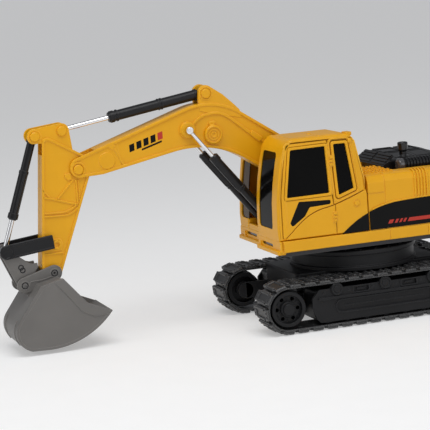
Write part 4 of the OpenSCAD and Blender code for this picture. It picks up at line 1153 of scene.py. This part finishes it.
def build_body_side(side):
    name = sided("body_side", side)
    p = Piece(name + "_moulding", "house", yellow, (name,))
    p.flip = side
    p.plate([section(0.55)], JOIN, 5.4, 0.25, FRONT)
    p.plate([section()], JOIN, -9.0, 0.35, FRONT)
    p.plate([[(BODY_INNER, BELT), (SKIN - 0.35, BELT), (SKIN - 0.35, 97.2), (BODY_INNER, 97.2)]],
        -8.2, 5.5, 0.35, FRONT)
    p.plate([fillet([(BODY_INNER, 98.0), (SKIN + 0.1, 98.0), (SKIN, 105.6), (48.2, 110.5),
        (46, 111.4), (BODY_INNER, 111.4)], [0, 0.6, 1.4, 1.6, 1.2, 0.3], 12)], -8.2, 5.5, 0.4,
        FRONT)
    # top panel line and raised ribs wrapped over the shoulder
    p.bar((-83, 32.5, -9.6, 43.8), 1.0, 111.2, 111.85, 0.25, PLAN)
    shoulder = [(SKIN - 0.2, 91.6), (SKIN + 0.4, 92.6), (SKIN + 0.4, 106.0), (49.1, 111.0),
        (46.2, 112.2), (42.8, 112.2)]
    for k in range(5):
        x = -33.9 - k * 2.55
        p.plate([strip(shoulder, 1.5)], x - 0.68, x + 0.68, 0.45, FRONT)
    # lip along the top of the band
    lip = [(x, z + 0.75) for x, z in BAND_TOP if x < 5]
    p.plate([strip(lip, 1.0)], SKIN - 0.2, HALF + 0.15, 0.35)
    p.done()


def build_bands():
    top = BAND_TOP
    for side in (1, -1):
        dark = Piece(sided("band", side), "house", band_black)
        dark.flip = side
        if side > 0:
            cab_part = [q for q in top if q[0] >= 6.4]
            dark.plate([cab_part + [(6.4, 83.4), (6.4, 69.9)]], SKIN + 0.1, HALF + 0.02, 0.06)
        body_part = [(5.2, 83.9)] + [q for q in top if q[0] < 5.0] + [(-83.6, 69.9), (5.2, 69.9)]
        dark.plate([body_part], SKIN - 0.3, HALF + 0.02, 0.06)
        dark.done()
        warm = Piece(sided("band_stripe", side), "house", band_red)
        warm.flip = side
        for x0, x1 in ((-9.4, -13.0), (-14.9, -17.2), (-18.7, -20.6), (-22.0, -24.0),
                (-25.9, -82.0)):
            warm.plate([[(x0, 73.2), (x1, 73.2), (x1 - 1.7, 76.0), (x0 - 1.7, 76.0)]], HALF,
                HALF + 0.08, 0.02)
        warm.done()


def build_screws():
    p = Piece("cab_screws", "house", yellow, ("house_screws",), slot="steel")
    p.turned([(0, SKIN - 0.4), (3.1, SKIN - 0.4), (3.1, SKIN + 0.7), (2.6, SKIN + 0.7),
        (2.5, SKIN + 0.36), (2.2, SKIN + 0.36), (2.2, SKIN + 0.9), (1.7, SKIN + 1.25),
        (0, SKIN + 1.3)], pin_at(CAB_SCREW, 0), 0.2, 28)
    p.done()


def build_deck():
    p = Piece("deck_moulding", "house", yellow, ("engine_deck",))
    p.block((JOIN, -30.8, BELT + 0.2), (0.9, 30.8, 107.2), 0.5, 0.6, PLAN)
    # walkway with rows of raised teeth either side of the boom's foot
    p.block((-22.5, 4, 107), (4.6, 44, 111.9), 0.4, 0.8, PLAN)
    p.block((-22.5, -44, 107), (4.6, -31, 111.9), 0.4, 0.8, PLAN)
    for y in (8, 16, 24, 32, 40, -34, -41):
        saw = []
        for k in range(8):
            x = -21.4 + k * 3.1 + (0.9 if (y // 8) % 2 else 0)
            saw += [(x, 112.0), (x + 0.5, 113.1), (x + 1.9, 113.3), (x + 2.4, 112.0)]
        p.plate([[(saw[0][0], 111.4)] + saw + [(saw[-1][0], 111.4)]], y - 1.1, y + 1.1, 0.3,
            rings=1)
    p.done()


def hood_shell(p):
    """The crowned hood, lofted along X: every station clips the same section at its own height."""
    crown = [(12, 107.3), (12, 115.2), (11.5, 115.9), (10, 116.5), (0, 117.8), (-10, 118.7),
        (-20, 119.2), (-30, 119.4), (-42, 119.2), (-44.2, 118.5), (-45, 117.2), (-45, 111.8),
        (-29, 111.8), (-29, 107.3)]
    stations = [(-25.2, 112.2), (-25.8, 112.7), (-28, 114.2), (-30.4, 116.2), (-32.8, 118.2),
        (-34.6, 119.6), (-74.5, 119.6), (-76.4, 118.2), (-77.6, 115.5), (-78, 112.6)]
    verts, faces = [], []
    count = len(crown)
    for x, top in stations:
        verts += [Vector((x, y, min(z, top))) for y, z in crown]
    for k in range(len(stations) - 1):
        for i in range(count):
            j = (i + 1) % count
            faces.append((k * count + i, k * count + j, (k + 1) * count + j, (k + 1) * count + i))
    for first in (0, len(verts) - count):
        # each end is the low box and the overhang beyond it
        faces.append(tuple(first + i for i in (0, 1, 2, 3, 4, 5, 6, 7, 12, 13)))
        faces.append(tuple(first + i for i in (7, 8, 9, 10, 11, 12)))
    p.shell(verts, faces)


def build_hood():
    p = Piece("hood_moulding", "house", hood_black, ("engine_hood",))
    hood_shell(p)
    # framed panels on the crown
    for y0, y1 in ((-40, -17), (-14, 6.5)):
        for x0, x1 in ((-72, -57.5), (-56, -39)):
            frame_z = 118.9 if y0 < -20 else 117.2
            tilt = Matrix.Translation((0, (y0 + y1) / 2,
                frame_z)) @ Matrix.Rotation(math.radians(-1.2 if y0 < -20 else -5.6), 4, "X")
            half_y = (y1 - y0) / 2
            p.plate([box_loop(x0, -half_y, x1, half_y, 1.6),
                box_loop(x0 + 1.6, 1.6 - half_y, x1 - 1.6, half_y - 1.6, 1.0)], 0.0, 1.15, 0.35,
                PLAN, tilt)
    # louvres on the front slope, in two groups
    for y0, y1 in ((-42, -18.0), (-14.0, 9.4)):
        for k in range(4):
            t = 0.10 + 0.2 * k
            x, z = -26.4 - 11.2 * t, 112.0 + 9.4 * t
            p.plate([fillet([(x + 1.0, z - 0.8), (x + 1.5, z + 0.7), (x - 0.6, z + 1.9),
                (x - 1.6, z + 0.6)], 0.25)], y0, y1, 0.35)
        for y in (y0 - 1.1, y1 + 0.2):
            p.plate([[(-24.9, 111.2), (-34.4, 119.3), (-35.4, 118.6), (-26.2, 110.6)]], y, y + 0.9,
                0.2)
    for k in range(12):
        x = -40 - k * 2.9
        p.bar((x - 0.8, 110.5, x + 0.8, 117.0), 0.6, 11.6, 12.5, 0.35)
    p.done()
    p = Piece("exhaust_pipe", "house", gloss_black, ("exhaust_stack",), slot="dark_window")
    at = Matrix.Translation((-48, 1.2, 0))
    p.turned([(0, 112), (4.4, 112), (4.4, 117.6), (3.0, 118.2), (2.9, 121.0), (4.0, 122.0),
        (4.2, 127.4), (3.7, 128.4), (2.7, 128.4), (2.6, 124), (0, 124)], at, 0.35, 36)
    p.done()
    p = Piece("air_filter_body", "house", black, ("air_cleaner",), slot="grey_plastic")
    at = Matrix.Translation((-81.4, 20.2, 113.0)) @ Matrix.Rotation(math.radians(90), 4, "Y")
    profile = [(0, 0), (4.2, 0)]
    for k in range(15):
        z = 1.6 + k * 2.7
        profile += [(4.0, z), (5.15, z + 0.4), (5.15, z + 1.3), (4.0, z + 1.7)]
    profile += [(4.2, 43.2), (0, 43.2)]
    p.lathe(profile, at, 36)
    p.block((-80, 16, 106.9), (-40, 22.8, 109.4), 0.5, 0.6, PLAN)
    p.done()
    p = Piece("air_filter_cap", "house", filter_gloss)
    p.turned([(0, 42.9), (4.9, 42.9), (5.3, 43.4), (5.3, 46.6), (4.6, 47.6), (3.0, 48.0),
        (0, 48.1)], at, 0.5, 36)
    p.done()


def build_counterweight():
    p = Piece("counterweight_moulding", "house", yellow, ("counterweight",))
    plan = arc((-84, HALF - TAIL_ARC), 21.6, 91, 180, 6) + arc((-84, TAIL_ARC - HALF), 21.6, 180,
        269, 6)
    plan = [(-84.2, HALF - 0.5)] + plan[1:-1] + [(-84.2, 0.5 - HALF)]
    p.plate([plan], BELT + 0.05, 110.2, 2.4, PLAN, rings=5)
    trim = Piece("trim")
    trim.block((-84.15, -60, 60), (-60, 60, 130), 0.0, 0.0, PLAN)
    p.cut(trim)
    p.plate([box_loop(-24, 76, 24, 100, 3.0), box_loop(-22.4, 77.6, 22.4, 98.4, 2.2)], -106.3,
        -105.2, 0.4, FRONT)
    for k in range(5):
        p.bar((-17, 80.2 + k * 3.6, 17, 81.9 + k * 3.6), 0.6, -106.2, -105.2, 0.35, FRONT)
    p.plate([[(-105, -20), (-92, -30), (-92, 30), (-105, 20)]], 109.9, 110.8, 0.4, PLAN)
    p.done()


# ---------- undercarriage ----------

WHEEL_X, WHEEL_Z, TRACK_Y = 79.5, 19.25, 48.0
SHOES = 36
BELT_RADIUS = 17.5   # where the shoes' spacing is measured
SHOE_HALF = 14       # half a shoe's width
GROOVE_X, GROOVE_Z = 36.5, 16.6
SPOKE_CIRCLE = 8.4   # the wheel's holes and studs


def build_track(side):
    name = sided("track", side)
    p = Piece(name + "_belt", "undercarriage", track_black, (name,))
    y = TRACK_Y * side

    def loop(r):
        return arc((WHEEL_X, WHEEL_Z), r, -90, 90, 9) + arc((-WHEEL_X, WHEEL_Z), r, 90, 270, 9)

    for a, b in ((-13, -7), (7, 13)):
        p.plate([loop(16.5), loop(15.5)], y + a, y + b, 0.3, rings=1)
    p.plate([loop(16.3), loop(15.7)], y - 12.5, y + 12.5, 0.1, rings=1)
    studs = Piece(name + "_studs", "undercarriage", dark_grey, slot="track_rubber")
    straight, turn = 2 * WHEEL_X, math.pi * BELT_RADIUS
    total = 2 * (straight + turn)
    pitch = total / SHOES
    for i in range(SHOES):
        d = (i + 0.5) * pitch
        if d < straight:
            x, a = WHEEL_X - d, 0.0
        elif d < straight + turn:
            x, a = -WHEEL_X, (d - straight) / turn * 180
        elif d < 2 * straight + turn:
            x, a = -WHEEL_X + (d - straight - turn), 180.0
        else:
            x, a = WHEEL_X, 180 + (d - 2 * straight - turn) / turn * 180
        at = Matrix.Translation((x, y, WHEEL_Z)) @ Matrix.Rotation(math.radians(-a), 4, "Y")
        # block-like pad, narrower at its ends, with cross bars; local Z points out of the loop
        wide, narrow = pitch * 0.44, pitch * 0.35
        pad = [(-narrow, -SHOE_HALF), (narrow, -SHOE_HALF), (narrow, -9.4), (wide, -8.4),
            (wide, 8.4), (narrow, 9.4), (narrow, SHOE_HALF), (-narrow, SHOE_HALF), (-narrow, 9.4),
            (-wide, 8.4), (-wide, -8.4), (-narrow, -9.4)]
        p.plate([pad], 16.1, 18.0, 0.3, PLAN, at, rings=1)
        for s in (-1, 1):
            p.bar((-narrow + 0.1, s * 11.4 - 2.5, narrow - 0.1, s * 11.4 + 2.5), 0.5, 17.6, 18.75,
                0.4, PLAN, at, rings=1)
            p.bar((s * 3.7 - 0.95, -8.0, s * 3.7 + 0.95, 8.0), 0.4, 17.6, 19.2, 0.4, PLAN, at,
                rings=1)
            p.bar((-1.6, s * 4.6 - 0.9, 1.6, s * 4.6 + 0.9), 0.3, 15.3, 17.2, 0.3, PLAN, at,
                rings=1)
            for u in (-1.5, 1.5):
                studs.lathe([(0, 18.4), (0.8, 18.4), (0.8, 19.0), (0.45, 19.2), (0, 19.2)],
                    at @ Matrix.Translation((u, s * 11.9, 0)), 8)
    p.done()
    studs.done()


def build_wheel(name, x, side):
    drive = x < 0
    p = Piece(name + "_disc", name, frame_black, (name,))
    at = Matrix.Translation((x, side * (TRACK_Y + 1),
        WHEEL_Z)) @ Matrix.Rotation(math.radians(-90 * side), 4, "X")
    rim = [(10.6, -11), (13.3, -11), (13.7, -10.6), (13.7, -3.6), (12.4, -3.2), (12.4, 3.2),
        (13.7, 3.6), (13.7, 10.6), (13.3, 11), (11.0, 11), (10.6, 10.4), (10.6, -11)]
    p.turned(rim, at, 0.3, 48)
    hub = [(3.06, -11), (6.2, -11), (6.2, 9.6), (5.4, 10.4), (3.06, 10.4), (3.06, -11)]
    p.turned(hub, at, 0.3, 40)
    holes = [disc((SPOKE_CIRCLE * math.cos(math.radians(k * 60)),
        SPOKE_CIRCLE * math.sin(math.radians(k * 60))), 1.5, 24) for k in range(6)]
    p.plate([disc((0, 0), 11.0, 7.5), disc((0, 0), 5.9, 12)] + holes, 4.6, 7.6, 0.4, PLAN, at)
    p.plate([disc((0, 0), 11.0, 7.5), disc((0, 0), 5.9, 12)], -6, -3.4, 0.3, PLAN, at)
    if drive:
        for k in range(16):
            tooth = at @ Matrix.Rotation(math.radians(k * 22.5), 4, "Z")
            p.plate([fillet([(12.2, -1.5), (15.0, -0.8), (15.0, 0.8), (12.2, 1.5)], 0.4)], -2.6,
                2.6, 0.3, PLAN, tooth, rings=1)
    else:
        p.turned([(12.0, -2.6), (14.6, -2.0), (14.6, 2.0), (12.0, 2.6), (12.0, -2.6)], at, 0.3, 48)
    for k in range(6):
        t = math.radians(30 + k * 60)
        p.turned(rod_shape(0.9, 7.4, 8.2), at @ Matrix.Translation((SPOKE_CIRCLE * math.cos(t),
            SPOKE_CIRCLE * math.sin(t), 0)), 0.25, 12)
    p.done()


def build_side_frame(side):
    name = sided("side_frame", side)
    p = Piece(name + "_moulding", "undercarriage", frame_black, (name,))
    p.flip = side
    out = 60.0  # the frame's outer face
    p.block((-57, 33.1, 7), (57, out - 3, 30), 0.5, 2.0)
    wall = fillet([(-57, 8.5), (-54, 5.2), (54, 5.2), (57, 8.5), (60, 16), (60, 24), (54, 31.0),
        (-54, 31.0), (-60, 24), (-60, 16)], 2.0)
    groove = arc((GROOVE_X, GROOVE_Z), 4.3, -90, 90, 12) + arc((-GROOVE_X, GROOVE_Z), 4.3, 90, 270,
        12)
    slots = [box_loop(x - 6.2, 26.1, x + 6.2, 30.0, 0.8) for x in (-20, 20)]
    p.plate([wall, groove] + slots, out - 3, out - 0.4, 0.4)
    p.plate([inset(wall, 0.6)], out - 3.2, out - 1.6, 0.1)
    # raised borders, rail and rounded groove frame
    ring = arc((GROOVE_X, GROOVE_Z), 5.4, -90, 90, 12) + arc((-GROOVE_X, GROOVE_Z), 5.4, 90, 270,
        12)
    p.plate([ring, groove], out - 1, out + 0.5, 0.35)
    p.plate([fillet([(-56, 22.6), (56, 22.6), (55, 24.9), (-55, 24.9)], 0.5)], out - 1, out + 1.2,
        0.5)
    p.plate([strip([(-33, GROOVE_Z), (33, GROOVE_Z)], 1.2)], out - 1.8, out - 0.9, 0.3)
    for x in (-20, 20):
        p.plate([box_loop(x - 7.3, 25.1, x + 7.3, 30.9, 1.2),
            box_loop(x - 6.2, 26.1, x + 6.2, 30.0, 0.8)], out - 1, out + 0.35, 0.3)
        p.bar((x - 3.2, 27.2, x + 3.2, 28.9), 0.4, out - 1.8, out - 0.6, 0.3)
    for x in (-40, 0, 40):
        p.turned([(0, out - 3), (5.0, out - 3), (5.0, out + 0.9), (4.4, out + 1.5),
            (3.5, out + 1.5), (3.3, out + 0.9), (2.7, out + 0.9), (2.5, out + 1.4),
            (0, out + 1.4)], pin_at((x, 30.2), 0), 0.25, 36)
    for x in (-50, -30, -10, 10, 30, 50):
        p.turned([(0, out - 1), (0.95, out - 1), (0.95, out + 0.2), (0, out + 0.3)],
            pin_at((x, 28.0), 0), 0.25, 14)
    # bottom rollers moulded under the frame
    for k in range(7):
        x = -48 + k * 16
        p.turned([(0, 38), (3.1, 38), (3.1, 58.6), (2.2, 59.2), (2.0, 58.6), (0, 58.6)],
            pin_at((x, 7.0), 0), 0.3, 24)
    # wheel arms and axles
    for s in (-1, 1):
        x = s * WHEEL_X
        p.plate([[(s * 50, 13.5), (x, 12.6), (x, 25.9), (s * 50, 25)]], 33.1, 35.2, 0.3)
        p.turned([(0, 33.1), (6.3, 33.1), (6.3, 35.6), (3.0, 35.6), (3.0, 60.2), (0, 60.2)],
            pin_at((x, WHEEL_Z), 0), 0.2, 32)
        p.turned([(0, 59.8), (4.6, 59.8), (4.6, 60.6), (3.8, 61.2), (0, 61.2)],
            pin_at((x, WHEEL_Z), 0), 0.3, 32)
    p.done()


def build_chassis():
    p = Piece("turntable_drum", "undercarriage", frame_black, ("chassis_top",))
    p.block((-62, -33, 26), (62, 33, 40), 1.2, 3.0, PLAN)
    profile = [(14.05, 39.2), (14.05, 54.4), (49.4, 54.4), (50, 53.8), (50, 51.2), (48.4, 50.6),
        (48.4, 42.6), (50, 41.8), (50, 39.2), (14.05, 39.2)]
    p.turned(profile, Matrix.Identity(4), 0.3, 96)
    for k in range(24):
        t = math.radians(k * 15)
        p.turned([(0, 54.2), (1.1, 54.2), (1.1, 54.9), (0, 55.0)],
            Matrix.Translation((45.5 * math.cos(t), 45.5 * math.sin(t), 0)), 0.2, 10)
    p.done()
    p = Piece("belly_pan", "undercarriage", frame_black, ("chassis_bottom",))
    p.plate([box_loop(-62, -33, 62, 33, 3.0), box_loop(-28, -15, 28, 15, 0.2),
        box_loop(46, -4, 50.4, 4, 0.2)], 9, 11.2, 0.4, PLAN)
    p.plate([box_loop(-62, -33, 62, 33, 3.0), box_loop(-60, -31, 60, 31, 2.0)], 9.5, 25.9, 0.3,
        PLAN)
    for y in (-22, -19, 19, 22):
        p.plate([strip([(-50, y), (40, y)], 1.2)], 8.3, 9.3, 0.3, PLAN)
    p.done()


build_tray()
build_cab()
build_cabin_inside()
build_module()
build_body_side(1)
build_body_side(-1)
build_bands()
build_screws()
build_deck()
build_hood()
build_counterweight()
for which in (1, -1):
    build_track(which)
    build_side_frame(which)
build_wheel("front_wheel_left", WHEEL_X, 1)
build_wheel("front_wheel_right", WHEEL_X, -1)
build_wheel("drive_wheel_left", -WHEEL_X, 1)
build_wheel("drive_wheel_right", -WHEEL_X, -1)
build_chassis()


# ---------- studio and camera ----------

floor_mesh = bpy.data.meshes.new("studio_floor")
FLOOR = 40.0
floor_mesh.from_pydata([(-FLOOR, -FLOOR, 0), (FLOOR, -FLOOR, 0), (FLOOR, FLOOR, 0),
    (-FLOOR, FLOOR, 0)], [], [(0, 1, 2, 3)])
studio = bpy.data.objects.new("studio_floor", floor_mesh)
studio.location.z = -0.0002  # just under the shoes
bpy.context.scene.collection.objects.link(studio)
paper = finish(None, "studio_paper", (0.7, 0.7, 0.695), 0.85, vary=0.01, bump=0.02)
paper_shader = paper.node_tree.nodes["Principled BSDF"]
paper_shader.inputs["Emission Color"].default_value = (1, 1, 1, 1)
paper_shader.inputs["Emission Strength"].default_value = 0.32
studio.data.materials.append(paper)

world = bpy.data.worlds.new("studio_light")
bpy.context.scene.world = world
world.use_nodes = True
world.node_tree.nodes["Background"].inputs["Color"].default_value = (0.93, 0.95, 1.0, 1)
world.node_tree.nodes["Background"].inputs["Strength"].default_value = 0.3


def softbox(name, at, aim, size, watts, colour=(1, 1, 1)):
    data = bpy.data.lights.new(name, "AREA")
    data.shape = "RECTANGLE"
    data.size, data.size_y = size
    data.energy = watts
    data.color = colour
    lamp = bpy.data.objects.new(name, data)
    bpy.context.scene.collection.objects.link(lamp)
    lamp.location = at
    lamp.rotation_mode = "QUATERNION"
    lamp.rotation_quaternion = (Vector(aim) - Vector(at)).to_track_quat("-Z", "Y")


softbox("key_overhead", (0.25, 0.45, 1.1), (0.1, 0, 0.08), (1.0, 0.7), 7.4)
softbox("fill_cab_side", (-0.5, 1.2, 0.5), (0.05, 0, 0.1), (0.8, 0.8), 2.2)
softbox("rim_front", (1.2, 0.1, 0.5), (0.1, 0, 0.1), (0.5, 0.8), 1.8)

# the photograph's viewing angle, distance and lens
TURN, RAISE, ROLL = math.radians(18.63), math.radians(8.55), math.radians(4.06)
REACH = 1.386
AIM = Vector((0.1125, 0.0, 0.08795))
SENSOR, LENS = 36.0, 150.7
back = Vector((math.sin(TURN) * math.cos(RAISE), math.cos(TURN) * math.cos(RAISE), math.sin(RAISE)))
right = Vector((-math.cos(TURN), math.sin(TURN), 0))
up = back.cross(right)
lens = bpy.data.cameras.new("camera")
lens.sensor_width = SENSOR
lens.lens = LENS
lens.clip_start, lens.clip_end = 0.05, 200.0
camera = bpy.data.objects.new("camera", lens)
bpy.context.scene.collection.objects.link(camera)
cam_right = right * math.cos(ROLL) - up * math.sin(ROLL)
cam_up = right * math.sin(ROLL) + up * math.cos(ROLL)
turned = Matrix((cam_right, cam_up, back)).transposed().to_4x4()
camera.matrix_world = Matrix.Translation(AIM + back * REACH) @ turned
bpy.context.scene.camera = camera
bpy.context.scene.view_settings.view_transform = "Standard"
